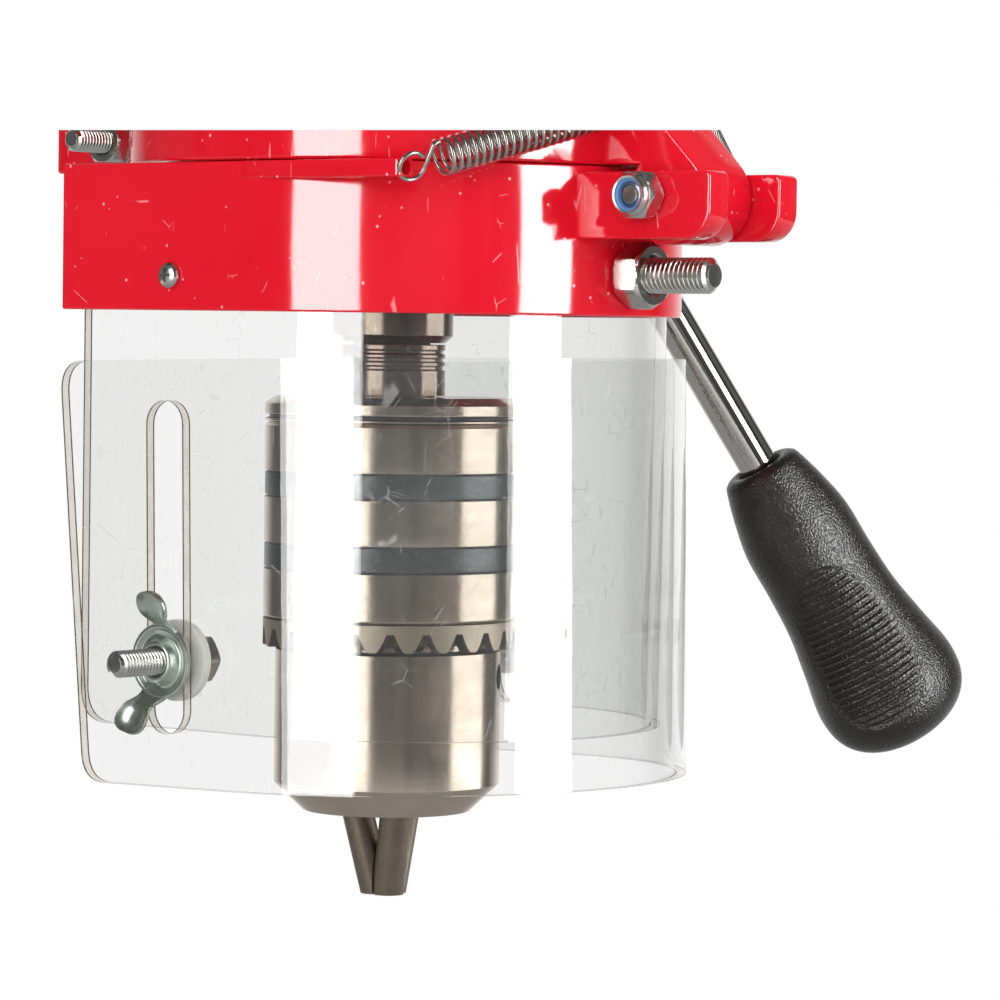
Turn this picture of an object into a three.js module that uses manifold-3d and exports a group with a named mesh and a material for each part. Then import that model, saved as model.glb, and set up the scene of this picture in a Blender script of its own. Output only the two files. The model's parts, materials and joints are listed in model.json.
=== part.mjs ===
// Front end of a drill press head, from its top joint face down to the chuck jaws: the quill and
// spindle, the hand feed, the keyed chuck, and the clear chuck guard on its sprung front hinge.
// Millimetres. The spindle runs along Z through the origin, +Z is up, and the origin is the top
// joint face of the casting. +Y points back to the column, and the operator stands at -Y.

import * as THREE from 'three';
import { mergeVertices } from 'three/addons/utils/BufferGeometryUtils.js';
import Module from 'manifold-3d';

const wasm = await Module();
wasm.setup();

const DEGREE = Math.PI / 180;

// Clearances
const slideGap = 0.12;
const runningGap = 0.15;
const seatGap = 0.3;
const boltGap = 0.25;

// Quill housing
const casting = {
  frontRadius: 54, back: 60,
  snoutRadius: 52, snoutBottom: -102,
  bossRadius: 15, bossEnd: 62,
  screwRadius: 3.4, screwDepth: 18, screwX: 42, screwFront: -24, screwBack: 48,
};

// Quill, its bearings and the spindle
const quill = { radius: 30, top: -4, bottom: -108, bore: 19, travel: 50 };
const rack = { module: 1.25, bottom: -88, depth: 2.8 };
const lowerBearing = { outer: 26, inner: 12.5, width: 15, floor: 2.4 };
const upperBearing = { outer: 20, inner: 8.5, width: 12 };
const retainer = { width: 1.6, bore: 17 };
const spindle = {
  noseRadius: 14, noseBottom: -134.1, noseChamfer: 1.7, socketMouth: 8.9, socketEnd: 7.2,
  socketDepth: 66, bodyRadius: 11.5, bodyTop: -60, upperRadius: 10, splineRadius: 7.8, top: 30,
};
const lockNut = { radius: 14, height: 6 };

// Chuck
const arbor = { flangeRadius: 12.3, chuckTaperTop: 10.3, chuckTaperEnd: 9.4, chuckDepth: 25 };
const chuck = {
  top: -146.4, radius: 28.7, flangeBottom: -152, neckRadius: 20, shoulder: -204,
  lowerRadius: 25.8, lowerBottom: -234.6, noseRadius: 19.2, noseBottom: -240.9,
  bitBore: 8.2, bitBoreTop: -196,
};
const sleeve = {
  bottom: -203.4, bore: 25.4, flange: 4, teeth: 22, toothDepth: 4.1,
};
const jaw = { count: 3, radius: 3.6, tilt: 14 * DEGREE, length: 56, tip: -260.3, tipOffset: 1.9, apex: 0.3 };
const ringNut = { top: -190, bottom: -202, wall: 25.2 };

// Hand feed
const pinion = { teeth: 13, width: 22, shaftRadius: 7.5, addendum: 1, dedendum: 1.25 };
const feedAxisZ = -52.5;
const bush = { radius: 12.4, length: 34 };
const hub = { radius: 22, start: 62.6, end: 96, center: 80, bossRadius: 14 };
const rod = { count: 3, radius: 5, start: 12, splay: 25 * DEGREE, forward: 21.2 * DEGREE };
const grip = {
  start: 132, length: 81, depthInside: 60,
  radii: [
    [0, 9.4], [0.025, 10.4], [0.12, 12.6], [0.235, 14.4], [0.38, 14.6],
    [0.52, 15.2], [0.655, 17], [0.78, 19], [0.88, 18.4], [0.95, 14.6],
  ],
};
const hubScrew = { head: 7, height: 5, radius: 3, length: 20 };
const springCup = { radius: 26, start: -62.6, depth: 17, wall: 2 };
const returnSpring = { turns: 3.5, inner: 9.2, outer: 22.4, strip: 0.9, width: 11 };
const cupNut = { radius: 12, height: 6 };

// Guard: its outside radius is shared by the clamp collar on the snout and the holder band below it
const guardRadius = 60.3;
const collar = { radius: guardRadius, frontCenter: -7, top: -70.3, bottom: -94.2, split: 1.5 };
const lug = { halfWidth: 10, back: 98, boltY: 76, boltZ: -87.5 };
const clampBolt = {
  radius: 3, head: 5.77, headHeight: 4, nutHeight: 5, washer: 6, washerHeight: 1.6, end: -27,
};
const arm = { halfWidth: 8.8, lobeRadius: 10.3, slope: 45 * DEGREE };
const hinge = { y: -guardRadius - 23.2, z: -101.8, radius: 3, nut: 5.77, nutHeight: 6, headHeight: 4 };
const springPin = { radius: 2, overhang: 5, y: -guardRadius - 13.7, z: -82 };

// Guard: hinged holder band, clear shields and their fasteners
const band = { radius: guardRadius, center: -7, back: 45.9, wall: 3, top: -95.1, bottom: -127.6 };
const ear = {
  inner: 9.35, outer: 16.3, front: -guardRadius - 40.2, top: -96.6, bottom: -111.1,
  corner: 6.7, topCorner: 1.5,
};
const ledge = { thickness: 3.9, front: 5.5 - guardRadius, tab: 3.5, holeRadius: 1.6 };
const stopBolt = {
  radius: 4, z: -118.6, end: -guardRadius - 30.2, nut: 7.5, nutHeight: 6.6, headHeight: 5.3,
};
const holderScrew = {
  radius: 1.5, headRadius: 2.95, headHeight: 1.6, y: 13.2, z: -119.9, nut: 3.18, nutHeight: 2.4,
};
const innerShield = { wall: 2.5, back: 42.2, top: -102, bottom: -220, corner: 8 };
const outerShield = {
  gap: 3, wall: 2.6, backTop: 43, backBottom: 36.5, top: -138.4, bottom: -232.3, corner: 7,
  tilt: 1.2 * DEGREE, slotTop: -147.3, slotBottom: -220.6, slotRadius: 5.35,
};
const shieldBolt = { radius: 3, y: 11.3, z: -204.5, head: 5.77, headHeight: 4, reach: 16 };
const spacer = { radius: 9, hole: 3.3 };
const wingNut = {
  radius: 8.3, disc: 1.6, hubRadius: 5.2, hubHeight: 4.6,
  span: 16.8, lobe: 3.7, neck: 2.4, wing: 1.4, tilt: 22 * DEGREE,
};
const guardSpring = { coilRadius: 4.3, wire: 0.55, startGap: 6, endGap: 8, anchorX: 12 };

// Worked out from the sizes above
const pinionPitchRadius = rack.module * pinion.teeth / 2;
const pinionTipRadius = pinionPitchRadius + rack.module * pinion.addendum;
const rackTipY = quill.radius - 0.9;
const feedAxisY = rackTipY - rack.module + pinionPitchRadius;
const castingBottom = collar.top + seatGap;
const innerRadius = band.radius - band.wall - seatGap;
const outerRadius = innerRadius + outerShield.gap + outerShield.wall;
const acrossGuard = 2 * outerRadius;

const finishes = {
  redPaint: { color: 0xc8101c, roughness: 0.35, metalness: 0 },
  redPlastic: { color: 0xe3001f, roughness: 0.2, metalness: 0 },
  clearPlastic: { color: 0xeef0ee, roughness: 0.05, metalness: 0, transparent: true, opacity: 0.3 },
  zinc: { color: 0xb9bdb6, roughness: 0.35, metalness: 1 },
  steel: { color: 0x8f8a82, roughness: 0.3, metalness: 1 },
  chrome: { color: 0xd8dadc, roughness: 0.08, metalness: 1 },
  grip: { color: 0x211d1b, roughness: 0.55, metalness: 0 },
  bronze: { color: 0xa8834b, roughness: 0.4, metalness: 1 },
  blackSteel: { color: 0x2a2a2c, roughness: 0.5, metalness: 0.8 },
};

// ---------- small geometry helpers ----------

function lathe(profile, segments = 28) {
  const points = profile.map(([radius, height]) => new THREE.Vector2(radius, height));
  if (THREE.ShapeUtils.area(points) < 0) {
    points.reverse();
  }
  const closed = points[0].x > 0 || points.at(-1).x > 0;
  if (closed) {
    points.push(points[0].clone());
  }
  return new THREE.LatheGeometry(points, segments).rotateX(Math.PI / 2);
}

function rodAlong(axis, radius, start, end, segments = 24) {
  const geometry = lathe([[0, start], [radius, start], [radius, end], [0, end]], segments);
  return turnTo(axis, geometry);
}

function turnTo(axis, geometry) {
  if (axis === 'x') {
    return geometry.rotateY(Math.PI / 2);
  }
  if (axis === 'y') {
    return geometry.rotateX(-Math.PI / 2);
  }
  return geometry;
}

function hexAlong(axis, cornerRadius, start, end) {
  return rodAlong(axis, cornerRadius, start, end, 6);
}

// A plan outline pushed up from bottom to top
function prism(shape, bottom, top, curveSegments = 16) {
  const options = { depth: top - bottom, bevelEnabled: false, curveSegments };
  return new THREE.ExtrudeGeometry(shape, options).translate(0, 0, bottom);
}

// A side outline drawn in (Y, Z) pushed along X
function sidePrism(shape, start, end, curveSegments = 12) {
  const geometry = prism(shape, start, end, curveSegments);
  const axes = new THREE.Matrix4().makeBasis(
    new THREE.Vector3(0, 1, 0),
    new THREE.Vector3(0, 0, 1),
    new THREE.Vector3(1, 0, 0),
  );
  return geometry.applyMatrix4(axes);
}

function toSolid(geometry) {
  const bare = geometry.clone();
  bare.deleteAttribute('normal');
  bare.deleteAttribute('uv');
  const merged = mergeVertices(bare, 1e-5);
  const vertProperties = new Float32Array(merged.attributes.position.array);
  const triVerts = new Uint32Array(merged.index.array);
  return new wasm.Manifold(new wasm.Mesh({ numProp: 3, vertProperties, triVerts }));
}

function toGeometry(solid) {
  const mesh = solid.getMesh();
  const geometry = new THREE.BufferGeometry();
  geometry.setAttribute('position', new THREE.BufferAttribute(new Float32Array(mesh.vertProperties), 3));
  geometry.setIndex(new THREE.BufferAttribute(new Uint32Array(mesh.triVerts), 1));
  geometry.computeVertexNormals();
  return geometry;
}

function join(base, ...others) {
  return toGeometry(others.reduce((solid, other) => solid.add(toSolid(other)), toSolid(base)));
}

function cut(base, ...tools) {
  return toGeometry(tools.reduce((solid, tool) => solid.subtract(toSolid(tool)), toSolid(base)));
}

function common(base, other) {
  return toGeometry(toSolid(base).intersect(toSolid(other)));
}

function piece(name, finish, geometry) {
  const mesh = new THREE.Mesh(geometry, new THREE.MeshStandardMaterial(finishes[finish]));
  mesh.name = name;
  return mesh;
}

function group(position, ...children) {
  const result = new THREE.Group();
  result.position.set(...position);
  result.add(...children);
  return result;
}

// ---------- outlines ----------

// Closed front outline: a half circle in front, straight sides, and a flat back
function tunnelOutline(radius, center, back) {
  const shape = new THREE.Shape();
  shape.moveTo(-radius, back);
  shape.lineTo(-radius, center);
  shape.absarc(0, center, radius, Math.PI, 2 * Math.PI, false);
  shape.lineTo(radius, back);
  shape.closePath();
  return shape;
}

// Open U strip of one wall thickness, with its open side at the back
function uOutline(radius, wall, center, back) {
  const shape = new THREE.Shape();
  shape.moveTo(-radius, back);
  shape.lineTo(-radius, center);
  shape.absarc(0, center, radius, Math.PI, 2 * Math.PI, false);
  shape.lineTo(radius, back);
  shape.lineTo(radius - wall, back);
  shape.lineTo(radius - wall, center);
  shape.absarc(0, center, radius - wall, 2 * Math.PI, Math.PI, true);
  shape.lineTo(-(radius - wall), back);
  shape.closePath();
  return shape;
}

// A hole straight through both sides of the guard
function drillAcross(radius, y, z) {
  return rodAlong('x', radius, -acrossGuard, acrossGuard, 20).translate(0, y, z);
}

// Side outline of a shield in (Y, Z): square in front, round corners at the back edge
function shieldSide(front, backTop, backBottom, top, bottom, corner) {
  const shape = new THREE.Shape();
  shape.moveTo(front, bottom);
  shape.lineTo(backBottom - corner, bottom);
  shape.quadraticCurveTo(backBottom, bottom, backBottom, bottom + corner);
  shape.lineTo(backTop, top - corner);
  shape.quadraticCurveTo(backTop, top, backTop - corner, top);
  shape.lineTo(front, top);
  shape.closePath();
  return shape;
}

// ---------- head casting ----------

function makeHousing() {
  const c = casting;
  const body = prism(tunnelOutline(c.frontRadius, 0, c.back), castingBottom, 0, 20);
  const snout = rodAlong('z', c.snoutRadius, c.snoutBottom, castingBottom + 1, 40);
  const bosses = rodAlong('x', c.bossRadius, -c.bossEnd, c.bossEnd, 28).translate(0, feedAxisY, feedAxisZ);
  const quillBore = rodAlong('z', quill.radius + slideGap, c.snoutBottom - 1, 1, 40);
  const crossBore = rodAlong('x', bush.radius + slideGap, -c.bossEnd - 1, c.bossEnd + 1, 28)
    .translate(0, feedAxisY, feedAxisZ);
  const screwHoles = [];
  for (const side of [-1, 1]) {
    for (const y of [c.screwFront, c.screwBack]) {
      screwHoles.push(rodAlong('z', c.screwRadius, -c.screwDepth, 1, 12).translate(side * c.screwX, y, 0));
    }
  }
  return cut(join(body, snout, bosses), quillBore, crossBore, ...screwHoles);
}

function makePinionBush(side) {
  const inner = casting.bossEnd - bush.length;
  const profile = [
    [pinion.shaftRadius + runningGap, inner], [bush.radius, inner],
    [bush.radius, casting.bossEnd], [pinion.shaftRadius + runningGap, casting.bossEnd],
  ];
  return turnTo('x', lathe(profile)).rotateZ(side < 0 ? Math.PI : 0);
}

function makeSpringCup() {
  const outerEnd = springCup.start - springCup.depth;
  const hole = pinion.shaftRadius + runningGap;
  const profile = [
    [hole, outerEnd], [springCup.radius - 2, outerEnd], [springCup.radius, outerEnd + 2],
    [springCup.radius, springCup.start], [springCup.radius - springCup.wall, springCup.start],
    [springCup.radius - springCup.wall, outerEnd + springCup.wall], [hole, outerEnd + springCup.wall],
  ];
  return turnTo('x', lathe(profile, 32));
}

// Flat spiral strip between the pinion shaft and the wall of its cup
function makeReturnSpring() {
  const steps = Math.round(returnSpring.turns * 16);
  const spiral = (offset) => (index) => {
    const part = index / steps;
    const radius = returnSpring.inner + (returnSpring.outer - returnSpring.inner) * part + offset;
    const angle = part * returnSpring.turns * 2 * Math.PI;
    return new THREE.Vector2(radius * Math.cos(angle), radius * Math.sin(angle));
  };
  const indices = Array.from({ length: steps + 1 }, (_, index) => index);
  const outside = indices.map(spiral(returnSpring.strip));
  const inside = indices.map(spiral(0)).reverse();
  const shape = new THREE.Shape([...outside, ...inside]);
  const start = springCup.start - springCup.depth + springCup.wall + seatGap;
  return turnTo('x', prism(shape, start, start + returnSpring.width));
}

function makeCupNut() {
  const outerEnd = springCup.start - springCup.depth - seatGap;
  const hex = hexAlong('x', cupNut.radius, outerEnd - cupNut.height, outerEnd);
  return cut(hex, rodAlong('x', pinion.shaftRadius + runningGap, outerEnd - cupNut.height - 1, outerEnd + 1));
}

// ---------- clamp collar of the guard ----------

function makeCollar() {
  const outline = new THREE.Shape();
  outline.moveTo(-collar.radius, 0);
  outline.lineTo(-collar.radius, collar.frontCenter);
  outline.absarc(0, collar.frontCenter, collar.radius, Math.PI, 2 * Math.PI, false);
  outline.lineTo(collar.radius, 0);
  outline.absarc(0, 0, collar.radius, 0, Math.PI, false);
  outline.closePath();
  const ring = prism(outline, collar.bottom, collar.top, 24);
  const middle = (collar.top + collar.bottom) / 2;
  const lugStart = casting.snoutRadius + 2;
  const lugs = new THREE.BoxGeometry(2 * lug.halfWidth, lug.back - lugStart, collar.top - collar.bottom)
    .translate(0, (lug.back + lugStart) / 2, middle);
  const snoutHole = rodAlong('z', casting.snoutRadius + slideGap, collar.bottom - 1, collar.top + 1, 40);
  const split = new THREE.BoxGeometry(2 * collar.split, lug.back, lug.back)
    .translate(0, casting.snoutRadius - 2 + lug.back / 2, middle);
  const boltHole = rodAlong('x', clampBolt.radius + boltGap, -20, 20, 20).translate(0, lug.boltY, lug.boltZ);
  const pinHole = rodAlong('x', springPin.radius + slideGap, -20, 20, 20);
  pinHole.translate(0, springPin.y, springPin.z);
  const hingeHole = rodAlong('x', hinge.radius + boltGap, -20, 20, 24).translate(0, hinge.y, hinge.z);
  return cut(join(ring, lugs, makeArm()), snoutHole, split, boltHole, pinHole, hingeHole);
}

// Front arm of the collar: a round lobe on the hinge bolt and a slope back up to the collar
function makeArm() {
  const lobe = arm.lobeRadius;
  const frontAngle = Math.PI - arm.slope;
  const slopeStartY = hinge.y + lobe * Math.cos(frontAngle);
  const slopeStartZ = hinge.z + lobe * Math.sin(frontAngle);
  const slopeRun = (collar.top - slopeStartZ) / Math.tan(arm.slope);
  const heelAngle = Math.asin((collar.bottom - hinge.z) / lobe);
  const root = collar.frontCenter - collar.radius + 4;
  const shape = new THREE.Shape();
  shape.moveTo(root, collar.bottom);
  shape.lineTo(root, collar.top);
  shape.lineTo(slopeStartY + slopeRun, collar.top);
  shape.lineTo(slopeStartY, slopeStartZ);
  shape.absarc(hinge.y, hinge.z, lobe, frontAngle, 2 * Math.PI + heelAngle, false);
  shape.closePath();
  return sidePrism(shape, -arm.halfWidth, arm.halfWidth, 20);
}

function makeSpringPin() {
  const half = arm.halfWidth + springPin.overhang;
  return rodAlong('x', springPin.radius, -half, half, 20);
}

function makeClampBolt() {
  const seat = lug.halfWidth + seatGap;
  const head = hexAlong('x', clampBolt.head, seat, seat + clampBolt.headHeight);
  const shank = rodAlong('x', clampBolt.radius, clampBolt.end, seat + 1, 24);
  return join(head, shank);
}

function makeClampWasher() {
  const face = -lug.halfWidth;
  return ringAlongX(clampBolt.washer, clampBolt.radius + boltGap, face - clampBolt.washerHeight, face);
}

function makeClampNut() {
  const face = -lug.halfWidth - clampBolt.washerHeight;
  return hexNut(clampBolt.head, clampBolt.radius + slideGap, face - clampBolt.nutHeight, face);
}

function ringAlongX(radius, hole, start, end, segments = 20) {
  return turnTo('x', lathe([[hole, start], [radius, start], [radius, end], [hole, end]], segments));
}

function hexNut(cornerRadius, hole, start, end) {
  return cut(hexAlong('x', cornerRadius, start, end), rodAlong('x', hole, start - 1, end + 1, 20));
}

// ---------- quill and spindle ----------

function makeQuill() {
  const q = quill;
  const lowerSeat = q.bottom + lowerBearing.floor + lowerBearing.width;
  const upperSeat = q.top - upperBearing.width;
  const tube = lathe([
    [lowerBearing.outer + slideGap, q.bottom], [q.radius, q.bottom], [q.radius, q.top],
    [upperBearing.outer + slideGap, q.top], [upperBearing.outer + slideGap, upperSeat],
    [q.bore, upperSeat], [q.bore, lowerSeat], [lowerBearing.outer + slideGap, lowerSeat],
  ], 40);
  // The flat of the rack runs out through the quill's top, so the pinion stays clear at full travel
  const flatTop = q.top + 2;
  const flat = new THREE.BoxGeometry(40, 10, flatTop - rack.bottom);
  const tools = [flat.translate(0, rackTipY + 5, (flatTop + rack.bottom) / 2)];
  const pitch = rack.module * Math.PI;
  const half = rack.module * 0.7;
  const below = Math.floor((feedAxisZ - rack.bottom - half) / pitch);
  const above = Math.floor((q.top - feedAxisZ) / pitch);
  for (let index = -below; index <= above; index += 1) {
    tools.push(makeRackGap(feedAxisZ + index * pitch, half));
  }
  return cut(tube, ...tools);
}

// One tooth space of the rack: wide at the tooth tips, narrow at the root
function makeRackGap(z, half) {
  const tipHalf = half * 1.62;
  const shape = new THREE.Shape();
  shape.moveTo(rackTipY - rack.depth, z - half * 0.65);
  shape.lineTo(rackTipY + 1, z - tipHalf);
  shape.lineTo(rackTipY + 1, z + tipHalf);
  shape.lineTo(rackTipY - rack.depth, z + half * 0.65);
  shape.closePath();
  return sidePrism(shape, -16, 16);
}

function makeLowerBearing() {
  const bottom = quill.bottom + lowerBearing.floor;
  return lathe([
    [lowerBearing.inner + runningGap, bottom], [lowerBearing.outer, bottom],
    [lowerBearing.outer, bottom + lowerBearing.width - seatGap],
    [lowerBearing.inner + runningGap, bottom + lowerBearing.width - seatGap],
  ]);
}

function makeUpperBearing() {
  const bottom = quill.top - upperBearing.width + seatGap;
  return lathe([
    [upperBearing.inner + runningGap, bottom], [upperBearing.outer, bottom],
    [upperBearing.outer, quill.top], [upperBearing.inner + runningGap, quill.top],
  ]);
}

function makeRetainer() {
  const top = quill.bottom + lowerBearing.floor - seatGap;
  return lathe([
    [retainer.bore, top - retainer.width], [lowerBearing.outer, top - retainer.width],
    [lowerBearing.outer, top], [retainer.bore, top],
  ]);
}

function makeSpindle() {
  const s = spindle;
  const seatTop = quill.bottom + lowerBearing.floor + lowerBearing.width + 2;
  const noseTop = quill.bottom + lowerBearing.floor - seatGap;
  const upperShoulder = quill.top - upperBearing.width;
  const profile = [
    [s.socketMouth, s.noseBottom], [s.noseRadius - s.noseChamfer, s.noseBottom],
    [s.noseRadius, s.noseBottom + s.noseChamfer], [s.noseRadius, noseTop],
    [lowerBearing.inner, noseTop], [lowerBearing.inner, seatTop], [s.bodyRadius, seatTop],
    [s.bodyRadius, s.bodyTop], [s.upperRadius, s.bodyTop], [s.upperRadius, upperShoulder],
    [upperBearing.inner, upperShoulder], [upperBearing.inner, quill.top + lockNut.height + 2],
    [s.splineRadius, quill.top + lockNut.height + 2], [s.splineRadius, s.top - 1],
    [s.splineRadius - 1, s.top], [0, s.top], [0, s.noseBottom + s.socketDepth],
    [s.socketEnd, s.noseBottom + s.socketDepth],
  ];
  return lathe(profile);
}

function makeLockNut() {
  const bottom = quill.top + seatGap;
  const ring = lathe([
    [upperBearing.inner + slideGap, bottom], [lockNut.radius, bottom],
    [lockNut.radius, bottom + lockNut.height], [upperBearing.inner + slideGap, bottom + lockNut.height],
  ]);
  const notches = [0, 1, 2, 3].map((index) => new THREE.BoxGeometry(3, 4, 2 * lockNut.height + 4)
    .translate(0, lockNut.radius, bottom)
    .rotateZ(index * Math.PI / 2));
  return cut(ring, ...notches);
}

// ---------- chuck ----------

function makeArbor() {
  const gap = slideGap;
  const taperTop = spindle.noseBottom + spindle.socketDepth - 3;
  const a = arbor;
  return lathe([
    [0, chuck.top - a.chuckDepth + 1], [a.chuckTaperEnd - gap, chuck.top - a.chuckDepth + 1],
    [a.chuckTaperTop - gap, chuck.top + seatGap], [a.flangeRadius, chuck.top + seatGap],
    [a.flangeRadius, spindle.noseBottom - seatGap], [spindle.socketMouth - gap, spindle.noseBottom - seatGap],
    [spindle.socketEnd - gap + 0.08, taperTop], [0, taperTop],
  ]);
}

// A jaw's bore or rod, tilted so that it meets the spindle axis below the jaw tip
function jawRod(radius, start, end) {
  return rodAlong('z', radius, start, end, 16)
    .rotateY(jaw.tilt)
    .translate(jaw.tipOffset, 0, jaw.tip);
}

function makeChuckBody() {
  const k = chuck;
  const turned = lathe([
    [0, k.noseBottom], [k.noseRadius, k.noseBottom], [k.lowerRadius, k.lowerBottom],
    [k.lowerRadius, k.shoulder - 0.6], [k.lowerRadius - 0.6, k.shoulder], [k.neckRadius, k.shoulder],
    [k.neckRadius, k.flangeBottom], [k.radius, k.flangeBottom],
    [k.radius, k.top - 1], [k.radius - 1, k.top], [0, k.top],
  ], 36);
  const tools = [
    rodAlong('z', k.bitBore, k.noseBottom - 1, k.bitBoreTop, 24),
    lathe([
      [0, k.top - arbor.chuckDepth], [arbor.chuckTaperEnd, k.top - arbor.chuckDepth],
      [arbor.chuckTaperTop, k.top], [arbor.chuckTaperTop, k.top + 1], [0, k.top + 1],
    ], 48),
  ];
  for (let index = 0; index < jaw.count; index += 1) {
    const angle = index * 2 * Math.PI / jaw.count;
    tools.push(jawRod(jaw.radius + 0.25, -5, jaw.length + 30).rotateZ(angle));
    const keyHole = rodAlong('x', 3, 19, chuck.radius + 2, 16).translate(0, 0, chuck.shoulder - 6);
    tools.push(keyHole.rotateZ(angle + Math.PI / jaw.count));
  }
  return cut(turned, ...tools);
}

function makeJaw(index) {
  const reach = 40;
  const wedge = new THREE.Shape();
  wedge.moveTo(jaw.apex, 0);
  wedge.lineTo(jaw.apex + reach, -reach * Math.tan(Math.PI / jaw.count));
  wedge.lineTo(jaw.apex + reach, reach * Math.tan(Math.PI / jaw.count));
  wedge.closePath();
  const sector = prism(wedge, jaw.tip, jaw.tip + jaw.length * Math.cos(jaw.tilt));
  const blank = jawRod(jaw.radius, -8, jaw.length + 8);
  return common(blank, sector).rotateZ(index * 2 * Math.PI / jaw.count);
}

function makeSleeve() {
  const s = sleeve;
  const top = chuck.flangeBottom - seatGap;
  const turned = lathe([
    [s.bore, s.bottom], [chuck.radius, s.bottom], [chuck.radius, top - 0.8], [chuck.radius - 0.8, top],
    [chuck.neckRadius + runningGap, top], [chuck.neckRadius + runningGap, top - s.flange],
    [s.bore, top - s.flange],
  ], 2 * s.teeth);
  const gaps = [];
  for (let index = 0; index < s.teeth; index += 1) {
    gaps.push(makeToothGap().rotateZ((index + 0.5) * 2 * Math.PI / s.teeth));
  }
  return cut(turned, ...gaps);
}

// A space between two bevel teeth of the chuck ring, pushed through the rim along X
function makeToothGap() {
  const half = Math.PI * chuck.radius / sleeve.teeth * 0.8;
  const shape = new THREE.Shape();
  shape.moveTo(-half, sleeve.bottom - 1);
  shape.lineTo(half, sleeve.bottom - 1);
  shape.lineTo(half * 0.3, sleeve.bottom + sleeve.toothDepth);
  shape.lineTo(-half * 0.3, sleeve.bottom + sleeve.toothDepth);
  shape.closePath();
  return sidePrism(shape, sleeve.bore - 1, chuck.radius + 2);
}

function makeRingNut() {
  const clear = jaw.radius / Math.cos(jaw.tilt) + 0.4;
  const inner = (z) => jaw.tipOffset + (z - jaw.tip) * Math.tan(jaw.tilt) + clear;
  return lathe([
    [inner(ringNut.bottom), ringNut.bottom], [ringNut.wall, ringNut.bottom],
    [ringNut.wall, ringNut.top], [inner(ringNut.top), ringNut.top],
  ]);
}

// ---------- hand feed ----------

function makePinionShaft() {
  const rootRadius = pinionPitchRadius - rack.module * pinion.dedendum;
  const toothAngle = 2 * Math.PI / pinion.teeth;
  const outline = [];
  for (let index = 0; index < pinion.teeth; index += 1) {
    const middle = index * toothAngle - Math.PI / 2;
    const corners = [
      [rootRadius, -0.27], [pinionPitchRadius, -0.17], [pinionTipRadius, -0.05],
      [pinionTipRadius, 0.05], [pinionPitchRadius, 0.17], [rootRadius, 0.27],
    ];
    for (const [radius, share] of corners) {
      const angle = middle + share * toothAngle;
      const x = radius * Math.cos(angle);
      const y = radius * Math.sin(angle);
      outline.push(new THREE.Vector2(x, y));
    }
  }
  const toothed = turnTo('x', prism(new THREE.Shape(outline), -pinion.width / 2, pinion.width / 2));
  const start = springCup.start - springCup.depth - seatGap - cupNut.height - 4;
  const left = rodAlong('x', pinion.shaftRadius, start, -pinion.width / 2 + 1);
  const right = rodAlong('x', pinion.shaftRadius, pinion.width / 2 - 1, hub.end - 6);
  const core = rodAlong('x', rootRadius - 0.1, -pinion.width / 2, pinion.width / 2);
  const screwHole = rodAlong('x', hubScrew.radius + slideGap, hub.end - 6 - hubScrew.length, hub.end, 20);
  return cut(join(toothed, left, right, core), screwHole);
}

function rodDirection(index) {
  const turn = -rod.forward + index * 2 * Math.PI / rod.count;
  return new THREE.Vector3(
    Math.sin(rod.splay),
    Math.cos(rod.splay) * Math.sin(turn),
    -Math.cos(rod.splay) * Math.cos(turn),
  );
}

// Stands geometry made along +Z onto a feed rod's line through the middle of the hub
function ontoRod(geometry, index) {
  const turn = new THREE.Quaternion().setFromUnitVectors(new THREE.Vector3(0, 0, 1), rodDirection(index));
  return geometry.applyQuaternion(turn).translate(hub.center, 0, 0);
}

function makeHub() {
  const h = hub;
  const turned = turnTo('x', lathe([
    [0, h.start], [h.bossRadius, h.start], [h.bossRadius, h.start + 4], [h.radius, h.start + 8],
    [h.radius, h.center + 5], [h.radius - 6, h.end], [0, h.end],
  ], 48));
  const tools = [
    rodAlong('x', pinion.shaftRadius + slideGap, h.start - 1, h.end - 5.7),
    rodAlong('x', hubScrew.radius + boltGap, h.end - 7, h.end + 1, 20),
  ];
  for (let index = 0; index < rod.count; index += 1) {
    tools.push(ontoRod(rodAlong('z', rod.radius + slideGap, rod.start - seatGap, 40, 20), index));
  }
  return cut(turned, ...tools);
}

function makeFeedRod(index) {
  return ontoRod(rodAlong('z', rod.radius, rod.start, grip.start + grip.depthInside, 20), index);
}

function makeGrip(index) {
  const outside = grip.radii.map(([share, radius]) => [radius, grip.start + share * grip.length]);
  const end = grip.start + grip.length;
  const bottom = grip.start + grip.depthInside + 1;
  const bore = rod.radius + slideGap;
  const profile = [[bore, grip.start], ...outside, [8, end - 1], [0, end], [0, bottom], [bore, bottom]];
  return ontoRod(lathe(profile, 20), index);
}

function makeHubScrew() {
  const head = hexAlong('x', hubScrew.head, hub.end + seatGap, hub.end + seatGap + hubScrew.height);
  const shank = rodAlong('x', hubScrew.radius, hub.end - hubScrew.length + 2, hub.end + seatGap + 1, 20);
  return join(head, shank);
}

// ---------- hinged guard ----------

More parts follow.
